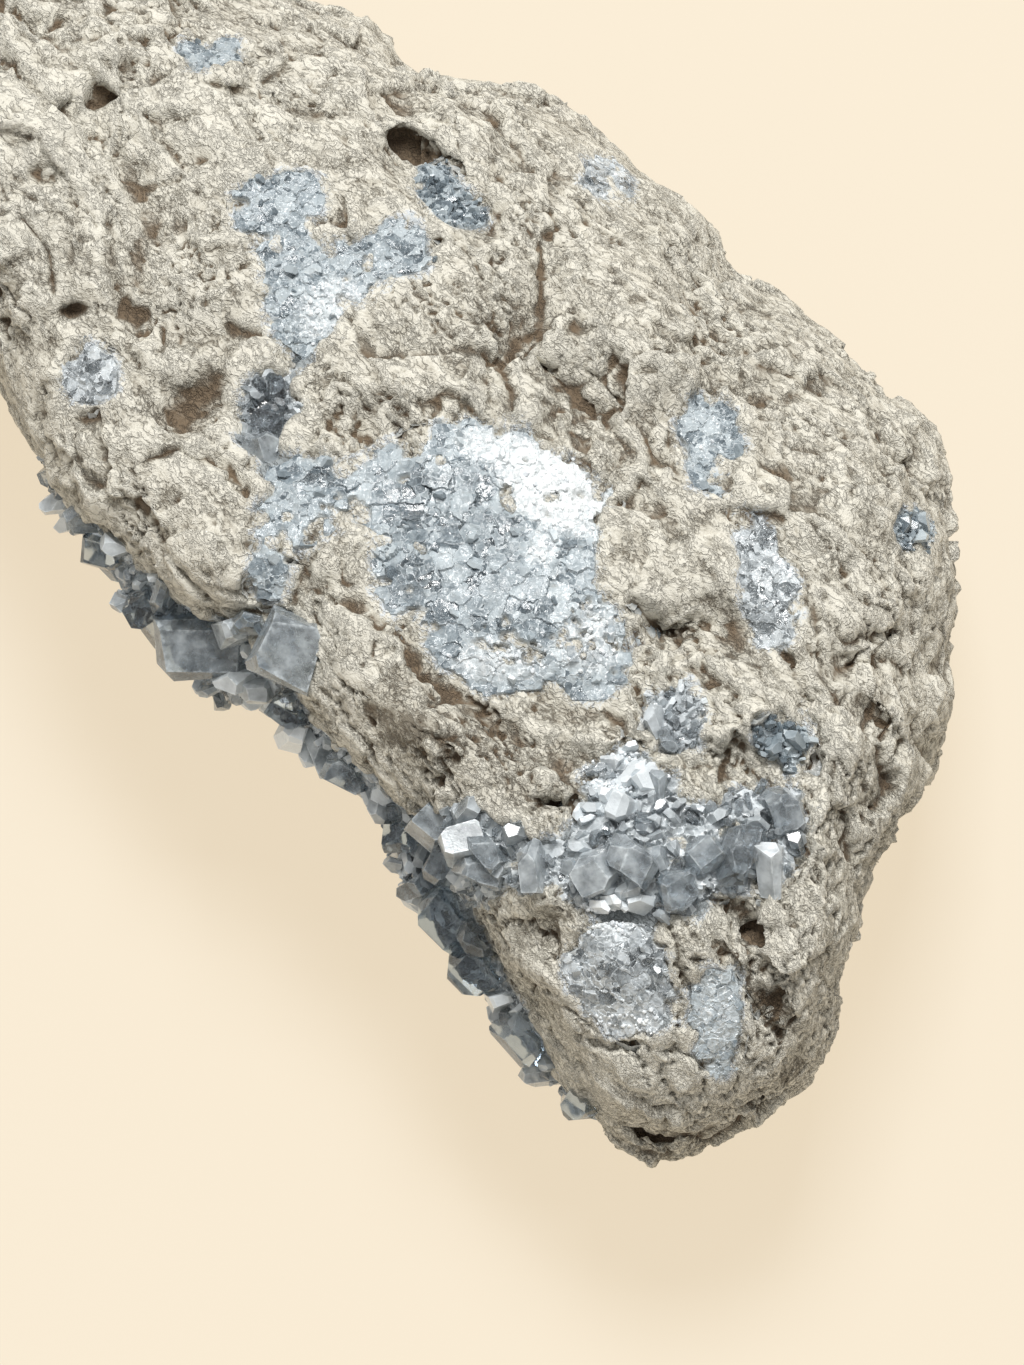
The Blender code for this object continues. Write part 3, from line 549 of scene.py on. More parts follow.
# How far each corner lies below what is round it: a nook is small and a hollow is wide. Nooks
# darken the stone's colour as painted shade, and both bring in a dark brown.
for name, rounds, reach in (("nook", 10, 0.22), ("hollow", 90, 0.7)):
    below = np.sum((relaxed(skin, pairs, 0.5, rounds) - skin) * facing_out, axis=1)
    give(rock.data, name, below / (reach * MM))
rock.data.polygons.foreach_set("use_smooth", [True] * len(rock.data.polygons))

# The stone's colours. The dark one is also the colour of painted shade in nooks, creases and the
# grain's low parts, and the light one that of painted light on faces turned from the lamp.
STONE_LIGHT = (0.74, 0.71, 0.62)
STONE_MAIN = (0.55, 0.52, 0.44)
STONE_DARK = (0.25, 0.222, 0.175)
STONE_HOLLOW_BROWN = (0.16, 0.11, 0.065)
FROST_SHADED = (0.42, 0.46, 0.49)
FROST = (0.66, 0.7, 0.73)
# The frost deep under a crust's crystals, painted darker: painted shade beneath the crystals.
SHADE_BENEATH_CRYSTALS = (0.34, 0.37, 0.38)
STONE_ROUGHNESS = 0.92
GRAIN_DEPTH = 0.45 * MM


def new_material(name):
    """An empty node material, and a flow to start its tree from."""
    material = bpy.data.materials.new(name)
    material.use_nodes = True
    material.node_tree.nodes.clear()
    return material, Flow(material.node_tree)


stone, start = new_material("matrix rock")
spot = start.node("ShaderNodeTexCoord", None, None, "Object") * (1 / MM)
wander = spot + (spot.noise(6, 2, output="Color") - 0.5) * 3.0
grain_spot = wander.grained(GRAIN_ANGLE, GRAIN_STRETCH)
fibres = grain_spot.noise(0.55, 4, 0.7)
grit = wander.noise(0.5, 3, 0.7)
cloud = spot.noise(12, 4, 0.6)
wrinkled = spot + (spot.noise(2.0, 2, output="Color") - 0.5) * 2.4
creases = (wrinkled.grained(GRAIN_ANGLE - 6, 2.4).noise(1.3, 3, 0.6) - 0.5).size()
creases = 1 - creases.rise(0.0, 0.05)
seams = (wander.grained(GRAIN_ANGLE + 25, 1.6).noise(0.7, 3, 0.65) - 0.5).size()
seams = 1 - seams.rise(0.0, 0.045)
seams = seams * (spot.noise(3.5, 2) + spot.part("Y").rise(*TIP) * 0.2).rise(0.4, 0.6)
nook, hollow, crust, bleached = map(start.named, ("nook", "hollow", "crust", "bleached"))
# The stone's tone: grain and clouds of its own, darkened as painted shade in nooks, creases, fine
# seams and the grain's low parts, and changed by the tone table's weathering, painted light and
# shade.
tone = 0.58 + (fibres - 0.5) * 0.9 + (grit - 0.5) * 1.2 + (cloud - 0.5) * 0.5
tone = tone - nook * 0.26 - creases * 0.24 - seams * 0.22 + 0.06 + bleached * 1.2
colour = tone.rise(0.05, 0.52).colours(STONE_DARK, STONE_MAIN)
colour = tone.rise(0.4, 0.95).colours(colour, STONE_LIGHT)
# A dark brown comes into hollows, nooks and random clouds, and less where the stone is made lighter.
brown_in_hollows = hollow * 0.35 + nook * 0.45 + (cloud - 0.5) + (grit - 0.5) * 0.5 - bleached * 2.0
colour = (brown_in_hollows.rise(0.5, 1.6) * 0.85).colours(colour, STONE_HOLLOW_BROWN)
frosty = (crust + (grit - 0.5) * 1.7 + (cloud - 0.5) * 0.3).rise(0.32, 0.8)
frost = tone.rise(0.1, 0.9).colours(FROST_SHADED, FROST)
# Deep inside a crust the frost takes the darker colour: painted shade beneath the crystals.
frost = crust.rise(0.6, 0.8).colours(frost, SHADE_BENEATH_CRYSTALS)
colour = frosty.colours(colour, frost)
relief = fibres * 0.65 + grit * 0.8 - creases * 0.5 - seams * 0.4
bump_inputs = {"Strength": 1.0, "Distance": GRAIN_DEPTH, "Height": relief}
bump = start.node("ShaderNodeBump", None, bump_inputs, "Normal")
rough = {"Base Color": colour, "Roughness": STONE_ROUGHNESS, "Normal": bump}
start.node("ShaderNodeBsdfPrincipled", None, rough).end("ShaderNodeOutputMaterial")
rock.data.materials.clear()
rock.data.materials.append(stone)
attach(rock, "root")
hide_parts("matrix")

# The crystals: celestite, grown in crusts straight on the rock. Blocky crystals of two to three
# millimetres stand between smaller ones and white sugary grains, each one closed by the faces
# that celestite has: flat sides, sloping sides and a chisel tip.
SIDE = (0, 1, 0)
SLOPE = (0.789, 0.614, 0)
CHISEL = (0.616, 0, 0.788)
ROOF = (0, 0.773, 0.635)
BOTTOM = (0, 0, -1)
FOOT = 0.55
UNEVENNESS = 0.07


def habit(dice, width, flatness, length, spread):
    """A crystal's faces, as directions and distances from its middle, each a little off."""
    faces = [(SLOPE, width, 4), (SIDE, width * flatness, 2), (CHISEL, length, 2), (ROOF, length, 2)]
    found = [(BOTTOM, FOOT)]
    for (x, y, z), away, count in faces:
        signs = {4: ((1, 1), (1, -1), (-1, 1), (-1, -1)), 2: ((1, 1), (-1, -1))}[count]
        for across, aside in signs:
            nudge = [dice.uniform(-UNEVENNESS, UNEVENNESS) for _ in range(3)]
            direction = Vector((x * across, y * aside, z)) + Vector(nudge)
            found.append((direction.normalized(), away * dice.uniform(1 - spread, 1 + spread)))
    return found


NEARLY_PARALLEL = 0.01
SAME_CORNER = 1e-4
ON_A_FACE = 1e-5
PAST_A_FACE = 1e-6


def crystal(faces, fans=True):
    """The solid inside these faces: its corners, its triangles, and 1 for corners on an edge."""
    directions = np.array([tuple(direction) for direction, _ in faces])
    distances = np.array([away for _, away in faces])
    points = []
    for three in combinations(range(len(faces)), 3):
        chosen = directions[list(three)]
        if abs(np.linalg.det(chosen)) < NEARLY_PARALLEL:
            continue
        point = np.linalg.solve(chosen, distances[list(three)])
        new = all(np.linalg.norm(point - other) > SAME_CORNER for other in points)
        if new and (directions @ point <= distances + PAST_A_FACE).all():
            points.append(point)
    edge = [1.0] * len(points)
    triangles = []
    for direction, away in zip(directions, distances):
        ring = [
            k for k, point in enumerate(points)
            if edge[k] and abs(direction @ point - away) < ON_A_FACE
        ]
        if len(ring) < 3:
            continue
        middle = sum(points[k] for k in ring) / len(ring)
        first = (points[ring[0]] - middle) / np.linalg.norm(points[ring[0]] - middle)
        second = np.cross(direction, first)
        ring.sort(
            key=lambda k: math.atan2(second @ (points[k] - middle), first @ (points[k] - middle))
        )
        if fans:
            points.append(middle)
            edge.append(0.0)
            triangles += [(ring[k - 1], ring[k], len(points) - 1) for k in range(len(ring))]
        else:
            triangles += [(ring[0], ring[k], ring[k + 1]) for k in range(1, len(ring) - 1)]
    return points, triangles, edge


def crystal_set(name, count, seed, fans, **shape):
    """A collection of crystals of one kind, for the growth tree to pick from."""
    made = bpy.data.collections.new(name)
    bpy.context.scene.collection.children.link(made)
    dice = random.Random(seed)
    for number in range(count):
        points, triangles, edge = crystal(habit(dice, **shape), fans)
        mesh = bpy.data.meshes.new(name)
        mesh.from_pydata([tuple(point) for point in points], [], triangles)
        give(mesh, "edge", np.array(edge))
        made.objects.link(bpy.data.objects.new(name, mesh))
    return made


BLOCKY = {"width": 0.56, "flatness": 0.55, "length": 0.72, "spread": 0.25}
SUGARY = {"width": 0.5, "flatness": 0.9, "length": 0.6, "spread": 0.2}
blocks = crystal_set("blocky crystals", 12, 5, True, **BLOCKY)
grains = crystal_set("sugary grains", 6, 8, False, **SUGARY)

# The fine crust's bits and specks as shares of its plates' size, and how much light a blue crystal
# takes for each metre
BIT_SHARE = 0.42
SPECK_SHARE = 0.17
ABSORPTION = 170.0
CELESTITE_IOR = 1.62
GLASS_ROUGHNESS = 0.12
SUGAR_ROUGHNESS = 0.4
# The white of sugary grains, and also of painted highlights on the crystals' edges and joints.
SUGAR_AND_HIGHLIGHT_WHITE = (0.84, 0.87, 0.88)
GREY_SUGAR = (0.7, 0.74, 0.78)
DUSTED_ROCK = (0.55, 0.54, 0.5)


def celestite(name, clear, body, milky, cloudiness, gloss, absorbed=None):
    """Glassy crystal, milky clouds, white edges of frost and painted highlight, each in its own tone.
    """
    material, start = new_material(name)
    spot = start.node("ShaderNodeTexCoord", None, None, "Object") * (1 / MM)
    tone, milk, edge, on_sheet = (start.named(name) for name in ("tone", "milk", "edge", "top"))
    ground = start.named("ground", "Vector")
    plates, bits, specks = (ground.cells(share) for share in (1.0, BIT_SHARE, SPECK_SHARE))
    is_plate = (start.named("blocks") - plates.other("Color").part("Y")).rise(-0.02, 0.02)
    own = bits.other("Color").part("X")
    own = own + (plates.other("Color").part("X") - own) * is_plate
    own = own * 0.75 + specks.other("Color").part("X") * 0.25
    tone = tone + (own - tone) * on_sheet
    # Pale lines along the joints of the small crystals: painted highlights.
    lines = (1 - ground.cells(1.0, "DISTANCE_TO_EDGE").rise(0.0, 0.035)) * is_plate
    bit_lines = 1 - ground.cells(BIT_SHARE, "DISTANCE_TO_EDGE").rise(0.0, 0.08)
    lines = lines + bit_lines * (1 - is_plate * 0.7)
    # Tiny white specks on the crust: painted glints.
    glints = (1 - specks.rise(0.1, 0.24)) * specks.other("Color").part("Y").rise(0.86, 0.9)
    cloud = spot.noise(2.2, 3, 0.55)
    dust = spot.noise(0.25, 2, 0.6)
    veil = spot.noise(0.7, 3, 0.6)
    uneven = veil - 0.5
    # White edges: partly frost and partly painted highlight, with the painted joint lines and glints.
    rim = (edge + uneven * 0.5).rise(0.85, 1.1) * (0.22 + milk * 0.25)
    rim = rim + (lines * (veil - 0.1).rise(0.1, 0.6) * 0.65 + glints) * on_sheet
    fading = (1 - (start.named("cover") + uneven * 0.7).rise(0.45, 1.05)) * on_sheet
    milkiness = milk * 0.6 + (tone - 0.5) * 0.5 + (cloud - 0.5) * 0.6 + uneven * 0.15 + cloudiness
    share = (milkiness.rise(-0.1, 1.0) + rim + fading).rise(0.0, 1.0)
    shade = tone * 0.8 + (cloud - 0.5) * 0.5 + uneven * 0.15 + milk * 0.5 - 0.14
    # Painted highlights, frost and milk turn the colour white.
    frost_and_highlights = (rim + (milk + uneven * 0.5).rise(0.55, 1.0)).rise(0, 1)
    colour = frost_and_highlights.colours(shade.rise(0.0, 1.0).colours(body, milky), SUGAR_AND_HIGHLIGHT_WHITE)
    colour = fading.colours(colour, DUSTED_ROCK)
    facets = (ground.facet(BIT_SHARE) + ground.facet(SPECK_SHARE)) * on_sheet * 2.0
    bump_inputs = {"Strength": 0.5, "Distance": MM, "Height": (dust + veil) * 0.12 + facets}
    bump = start.node("ShaderNodeBump", None, bump_inputs, "Normal")
    glass_inputs = {"Base Color": (*clear, 1), "Roughness": GLASS_ROUGHNESS}
    glass_inputs |= {"IOR": CELESTITE_IOR, "Transmission Weight": 1.0}
    glass = start.node("ShaderNodeBsdfPrincipled", None, glass_inputs)
    cloudy_inputs = {"Base Color": colour, "Roughness": gloss}
    cloudy_inputs |= {"IOR": CELESTITE_IOR, "Normal": bump}
    cloudy = start.node("ShaderNodeBsdfPrincipled", None, cloudy_inputs)
    mixed = start.node("ShaderNodeMixShader", None, {0: share, 1: glass, 2: cloudy})
    mixed.end("ShaderNodeOutputMaterial")
    if absorbed:
        body_inputs = {"Color": (*absorbed, 1), "Density": ABSORPTION}
        inside = start.node("ShaderNodeVolumeAbsorption", None, body_inputs)
        inside.end("ShaderNodeOutputMaterial", 1)
    return material


blue = celestite(
    "grey-blue celestite", clear=(0.94, 0.96, 0.98), body=(0.33, 0.375, 0.405),
    milky=(0.74, 0.79, 0.82), cloudiness=0.24, gloss=0.2, absorbed=(0.48, 0.6, 0.7),
)
pale = celestite(
    "pale celestite", clear=(0.95, 0.98, 1.0), body=(0.15, 0.2, 0.24),
    milky=(0.53, 0.59, 0.62), cloudiness=0.4, gloss=0.26,
)
sugar, start = new_material("white sugary celestite")
spot = start.node("ShaderNodeTexCoord", None, None, "Object") * (1 / MM)
whiteness = (start.named("tone") * 0.6 + spot.noise(2.5, 3) * 0.5).rise(0.1, 0.8)
colour = whiteness.colours(GREY_SUGAR, SUGAR_AND_HIGHLIGHT_WHITE)
shine = {"Base Color": colour, "Roughness": SUGAR_ROUGHNESS, "IOR": CELESTITE_IOR}
start.node("ShaderNodeBsdfPrincipled", None, shine).end("ShaderNodeOutputMaterial")

given = new_tree("growth", [
    ("Size", "Float"), ("Crowding", "Float"), ("Tilt", "Float"), ("Sunk", "Float"), ("Seed", "Int"),
    ("Crystal", "Material"), ("Sugar", "Material"), ("Blocks", "Collection"),
    ("Grains", "Collection"), ("Sheet", "Object"), ("Large", "Object"),
])
CLOSEST = 1.6
LAST_PICK = 99


def growth(given, density, shapes, material, size, spread, tilt, sunk, seed):
    """One layer of crystals on the bed, as thick on the ground as the densities kept in it say."""
    spacing = size / given.other("Crowding") if isinstance(size, Flow) else size
    where = {"Mesh": given, "Distance Min": spacing, "Density Max": CLOSEST / (spacing * spacing)}
    where |= {"Density Factor": given.in_mesh(density) * given.in_mesh("free")}
    where |= {"Seed": given.other("Seed") + seed}
    scatter = {"distribute_method": "POISSON"}
    points = given.node("GeometryNodeDistributePointsOnFaces", scatter, where)
    draws = []
    ranges = ((-1, 1), (-1, 1), (0, math.tau), (1 - spread, 1 + spread), (0, 1))
    for number, (low, high) in enumerate(ranges):
        limits = {2: float(low), 3: float(high), "Seed": seed * 10 + number}
        draws.append(given.node("FunctionNodeRandomValue", {"data_type": "FLOAT"}, limits, 1))
    forward, sideways, spin, stature, own_tone = draws
    lean = {0: forward * tilt, 1: sideways * tilt, 2: spin}
    turned = given.node("ShaderNodeCombineXYZ", None, lean)
    turned = given.node("FunctionNodeEulerToRotation", None, {0: turned})
    turn = {"Rotation": points.other("Rotation"), "Rotate By": turned}
    turned = given.node("FunctionNodeRotateRotation", {"rotation_space": "LOCAL"}, turn)
    picked = {"Collection": shapes, "Separate Children": True, "Reset Children": True}
    picked = given.node("GeometryNodeCollectionInfo", None, picked)
    picks = {4: 0, 5: LAST_PICK, "Seed": seed}
    index = given.node("FunctionNodeRandomValue", {"data_type": "INT"}, picks, 2)
    scale = size * stature * (0.5 + given.in_mesh("inward").rise(0.3, 0.8) * 0.5)
    stand = {"Points": points, "Instance": picked, "Pick Instance": True, "Instance Index": index}
    stand |= {"Rotation": turned, "Scale": scale}
    crystals = given.node("GeometryNodeInstanceOnPoints", None, stand)
    drop = given.node("ShaderNodeCombineXYZ", None, {2: scale * (sunk * -1)})
    lowered = {"Instances": crystals, "Translation": drop}
    crystals = given.node("GeometryNodeTranslateInstances", None, lowered)
    tone = {"Geometry": crystals, "Name": "tone", "Value": own_tone}
    for_each = {"data_type": "FLOAT", "domain": "INSTANCE"}
    crystals = given.node("GeometryNodeStoreNamedAttribute", for_each, tone)
    crystals = given.node("GeometryNodeRealizeInstances", None, {"Geometry": crystals})
    return given.node("GeometryNodeSetMaterial", None, {"Geometry": crystals, "Material": material})


SUGAR_SIZE = 0.36 * MM
SUGAR_SUNK = 0.6
SMALL_SHARE = 0.45
size, tilt, sunk, glassy, shapes = map(given.other, ("Size", "Tilt", "Sunk", "Crystal", "Blocks"))
white, sugary = given.other("Sugar"), given.other("Grains")
layers = [
    growth(given, "blocks", shapes, glassy, size, 0.45, tilt, sunk, 1),
    growth(given, "cover", shapes, glassy, size * SMALL_SHARE, 0.4, tilt, sunk, 2),
    growth(given, "sugar", sugary, white, SUGAR_SIZE, 0.5, tilt, SUGAR_SUNK, 3),
]
for label in ("Sheet", "Large"):
    ready = given.node("GeometryNodeObjectInfo", None, {0: given.other(label)}).other("Geometry")
    in_crystal = {"Geometry": ready, "Material": glassy}
    layers.append(given.node("GeometryNodeSetMaterial", None, in_crystal))
join = given.tree.nodes.new("GeometryNodeJoinGeometry")
for layer in layers:
    given.tree.links.new(layer.socket, join.inputs[0])
Flow(given.tree, join.outputs[0]).end("NodeGroupOutput")
growth_tree = given.tree

# How the crystals vary over the face: across, up, half length, half width, turn of the spot, then
# how many blocky crystals and how much white sugar it has, and how milky its crystals are.
SPOTS = (
    (-8.6, 21.3, 9, 5.5, -10, 1.0, 0.1, 0.15),
    (-1.4, 17.1, 5, 3.5, 0, 1.0, 0.0, 0.1),
    (5.2, 23.1, 9.5, 6, -25, 0.1, 0.6, 0.92),
    (-1.6, 28.2, 7, 3, -10, 0.3, 0.6, 0.85),
    (2.6, 16, 3.4, 3, 0, 0.3, 0.6, 0.85),
    (-1.4, 11.1, 8, 4.5, 0, 1.0, 0.2, 0.3),
    (-1.4, 2.7, 8, 3.6, 0, 0.5, 0.6, 0.8),
    (9.4, 5.1, 5, 6, 0, 0.4, 0.6, 0.8),
    (-12.2, 12.3, 4.5, 3.5, 0, 1.0, 0.1, 0.1),
    (-21.2, 20.9, 7, 3.5, 0, 0.8, 0.3, 0.5),
    (-22.4, 24.5, 3.2, 1.6, 0, 1.0, 0.0, 0.05),
    (-29, 57, 5, 4, 0, 0.9, 0.4, 0.4),
    (-22, 45.2, 6, 4.5, 40, 0.5, 0.65, 0.8),
    (-13, 51, 6, 3, 20, 0.9, 0.4, 0.4),
    (-29.5, 33, 3, 6, 0, 1.0, 0.1, 0.1),
    (13, -11.1, 5, 4, 0, 0.4, 0.85, 0.75),
    (10.6, -22.5, 5, 3.5, 0, 1.0, 0.1, 0.3),
    (28.6, -17.7, 7, 4, 0, 0.8, 0.25, 0.25),
    (0, -18, 7, 3, 0, 0.8, 0.4, 0.4),
    (13.6, -33.9, 4, 3.2, 0, 1.0, 0.0, 0.35),
    (11, -27, 5, 3, 0, 0.5, 0.9, 0.85),
    (13, -40, 6, 2.4, 0, 0.6, 0.7, 0.7),
    (24, -39.9, 4, 7, 0, 0.6, 0.45, 0.72),
    (24, 28.5, 3.6, 6, 0, 0.4, 0.5, 0.55),
    (29.5, 17, 3, 5, 0, 0.8, 0.3, 0.3),
)
# The same three between the spots, and how much they count there against the spots
ELSEWHERE = (0.8, 0.35, 0.4)
ELSEWHERE_WEIGHT = 0.15
BED_REACH = 3.6
rock_points = [corner.co.copy() for corner in rock.data.vertices]
rock_tree = BVHTree.FromPolygons(rock_points, [tuple(face.vertices) for face in rock.data.polygons])


def bed_of(name):
    """The ground of a crust, a little wider than the crust itself, with how its crystals vary."""
    number = crusts.index(name)
    mine = (crust_number == number) & (crust_away < BED_REACH)
    faces = [face for face in bed_faces if all(mine[k] for k in face)]
    used = sorted({k for face in faces for k in face})
    new_number = {k: order for order, k in enumerate(used)}
    mesh = bpy.data.meshes.new("bed")
    points = []
    for k in used:
        point = Vector(bed_skin[k])
        on_rock, _, _, _ = rock_tree.find_nearest(point)
        points.append(on_rock.lerp(point, float(rise(inward[k], 0.3, 0.7))))
    mesh.from_pydata(points, [], [[new_number[k] for k in face] for face in faces])
    move(mesh, relaxed(corners(mesh), edge_pairs(mesh), 0.5, 8))
    spots = in_view(bed_skin[used])
    total = np.full(len(used), ELSEWHERE_WEIGHT)
    blend = np.outer(total, ELSEWHERE)
    for *oval, many_blocks, much_sugar, milk in SPOTS:
        weight = bowl(spots, *oval)
        total += weight
        blend += np.outer(weight, (many_blocks, much_sugar, milk))
    blend /= total[:, None]
    cover = rise(ragged[used], 0.35, 0.55)
    cover *= 1 - rise(crust_away[used], 1.2, 2.2)
    free = cover.copy()
    for across, up, half_length, half_width, _, turn, *_ in LARGE.get(name, ()):
        free *= 1 - rise(bowl(spots, across, up, half_length, half_width, turn), 0, 0.3)
    give(mesh, "blocks", 0.7 * blend[:, 0] * cover)
    give(mesh, "free", free)
    give(mesh, "sugar", rise(blend[:, 1], 0.45, 0.9) * free)
    give(mesh, "milk", blend[:, 2])
    give(mesh, "cover", cover)
    give(mesh, "inward", inward[used])
    return mesh


# Each crust: its solid, the crystals' slot, their size in millimetres, and how deep they sit as a
# share of that size. Above FLUSH the crust is a flush sheet with few and smaller single crystals.
CRUSTS = (
    ("central_patch", "celestite_pale", 3.3, 0.74),
    ("upper_vein", "celestite_pale", 2.2, 0.74),
    ("crystal_knot", "celestite_blue", 2.4, 0.4),
    ("pear_patch", "celestite_blue", 2.6, 0.74),
    ("slim_patch", "celestite_pale", 2.2, 0.74),
    ("right_patch", "celestite_pale", 2.0, 0.74),
    ("right_vein", "celestite_blue", 2.2, 0.6),
    ("crevice_crystals", "celestite_blue", 2.0, 0.5),
    ("left_pocket", "celestite_blue", 2.2, 0.6),
    ("groove_beads", "celestite_pale", 1.4, 0.3),
    ("right_pocket_beads", "celestite_pale", 1.2, 0.4),
    ("top_patch", "celestite_pale", 1.8, 0.74),
    ("rim_crystals", "celestite_blue", 2.4, 0.6),
    ("block_crystals", "celestite_pale", 1.6, 0.5),
    ("druse_crust", "celestite_blue", 3.2, 0.45),
)
FLUSH = 0.55
# The large crystals of each crust: across, up, half length, half width, half thickness, turn, lean
# to the right and lean up the view in degrees, tone and milkiness
LARGE = {
    "druse_crust": (
        (-50.0, 15.9, 2.2, 2.6, 2.0, 70, -20, -20, 0.0, 0.0),
        (-44.4, 9.1, 2.6, 2.4, 2.2, 30, -15, -25, 0.1, 0.0),
        (-36.2, 4.8, 6.2, 4.4, 3.4, -4, -6, -14, 0.35, 0.35),
        (-33.0, 6.4, 1.8, 1.5, 1.6, 20, 10, 10, 0.6, 0.4),
        (-31.4, 7.0, 1.5, 1.9, 2.8, 80, 5, -5, 0.5, 0.1),
        (-26.9, 3.0, 4.4, 4.6, 1.5, 70, 2, -4, 0.45, 0.3),
        (-30.7, -0.9, 2.2, 1.5, 2.0, 0, -10, -20, 0.6, 0.5),
        (-27.8, -4.0, 2.5, 2.1, 2.2, -35, -18, -22, 0.05, 0.0),
        (-26.0, -6.2, 1.7, 1.4, 1.8, -20, 8, 6, 0.9, 0.7),
        (-20.0, -10.7, 2.8, 1.9, 2.2, -30, -12, -16, 0.4, 0.1),
        (-13.4, -18.5, 2.2, 1.9, 2.4, 10, -24, -12, 0.0, 0.0),
        (-9.6, -16.8, 2.6, 2.0, 2.2, -40, 6, 8, 0.5, 0.3),
        (-5.6, -18.6, 2.8, 2.1, 2.0, 15, -8, 10, 0.6, 0.4),
        (-8.4, -21.6, 2.4, 2.0, 2.2, 60, -14, -6, 0.3, 0.2),
        (-3.6, -22.4, 2.4, 1.8, 2.0, -20, 8, -8, 0.45, 0.3),
        (-7.8, -27.9, 4.0, 3.4, 3.0, -52, -16, -10, 0.0, 0.0),
        (-4.4, -34.0, 3.2, 2.6, 2.6, -50, -14, -12, 0.1, 0.0),
        (-1.6, -38.0, 1.5, 1.2, 1.8, 20, 0, 0, 0.9, 0.6),
        (1.2, -42.2, 3.3, 2.6, 2.6, -48, -14, -14, 0.3, 0.1),
        (7.2, -50.6, 2.2, 1.8, 2.0, -40, -14, -10, 0.3, 0.1),
        (9.6, -22.6, 3.0, 2.4, 2.0, 24, -10, -8, 0.6, 0.35),
        (14.2, -21.4, 3.2, 2.4, 2.2, -30, 6, -8, 0.5, 0.3),
        (19.4, -24.4, 2.8, 2.2, 2.0, 10, 10, -12, 0.4, 0.2),
        (22.6, -20.0, 2.6, 2.0, 2.0, 40, -8, 6, 0.5, 0.3),
        (27.4, -19.0, 2.6, 2.2, 2.0, -15, 8, 8, 0.4, 0.2),
        (32.4, -15.6, 1.8, 2.6, 2.2, 10, 12, -6, 0.55, 0.2),
        (12.6, -14.6, 2.2, 1.6, 1.8, 70, -16, 12, 0.7, 0.6),
        (16.0, -11.6, 2.0, 1.4, 1.6, 30, 14, 14, 0.8, 0.65),
    ),
    "crystal_knot": (
        (-29.4, 31.0, 2.4, 2.0, 2.0, 20, -10, -10, 0.2, 0.1),
        (-28.6, 35.4, 1.7, 1.3, 1.8, 80, 12, 8, 0.1, 0.0),
        (-31.4, 28.6, 1.6, 1.3, 1.6, -20, -16, -8, 0.5, 0.3),
    ),
}
SAME_SPOT = 0.8
PROUD = 0.25
SEATED = -0.4
LOOSE_REACH = 0.6


def large_crystals(name):
    """One mesh of a crust's large crystals, each on the nearest spot of the bed in the view."""
    spots = in_view(bed_skin)
    dice = random.Random(len(name))
    points, triangles, edges, tones, milks = [], [], [], [], []
    for across, up, *half, turn, right, upward, tone, milk in LARGE.get(name, ()):
        away = np.linalg.norm(spots - (across, up), axis=1)
        near = away < away.min() + SAME_SPOT
        found = bed_skin[near][np.argmax(bed_skin[near] @ TOWARD_VIEW)]
        aside = Vector((across, up, 0)) - Vector((*in_view(found[None])[0], 0))
        aside.length = min(aside.length, LOOSE_REACH * min(half[:2]))
        lift = PROUD if name == "druse_crust" else SEATED
        middle = Vector(found) + VIEW_AXES @ (aside + Vector((0, 0, lift * half[2]))) * MM
        lean = Matrix.Rotation(math.radians(right), 3, "Y")
        lean = lean @ Matrix.Rotation(math.radians(-upward), 3, "X")
        axes = VIEW_AXES @ lean @ Matrix.Rotation(math.radians(turn), 3, "Z")
        made, faces, edge = crystal(tablet(dice, *half))
        first = len(points)
        points += [middle + axes @ Vector(point) * MM for point in made]
        triangles += [[first + k for k in face] for face in faces]
        edges += edge
        tones += [tone] * len(made)
        milks += [milk] * len(made)
    mesh = bpy.data.meshes.new("large crystals")
    mesh.from_pydata(points, [], triangles)
    for label, values in (("edge", edges), ("tone", tones), ("milk", milks)):
        give(mesh, label, np.array(values))
    return mesh


WARP = 1.7
EDGE_DROP = 1.85
given = new_tree("mosaic", [("Cell", "Float"), ("Relief", "Float")])
spot = given.node("GeometryNodeInputPosition") * (1 / MM)
spot = spot + (spot.noise(WARP, 3, output="Color") - 0.5) * WARP
many, top, inside = map(given.in_mesh, ("blocks", "top", "cover"))
cell = given.other("Cell")
wide = spot.cells(cell)
is_wide = (many - wide.other("Color").part("Y")).rise(-0.05, 0.05)
planes = spot.facet(cell) * is_wide + spot.facet(cell * BIT_SHARE) * (1 - is_wide)
height = planes * given.other("Relief") - (1 - inside) * EDGE_DROP
offset = given.node("GeometryNodeInputNormal") * (height * top * MM)
sheet = given.node("GeometryNodeSetPosition", None, {"Geometry": given, "Offset": offset})
ground = {"Geometry": sheet, "Name": "ground", "Value": spot / cell}
sheet = sheet.node("GeometryNodeStoreNamedAttribute", {"data_type": "FLOAT_VECTOR"}, ground)
sheet.end("NodeGroupOutput")
mosaic_tree = given.tree
SHEET_DEPTH = 1.9 * MM
SHEET_KEPT = 0.45


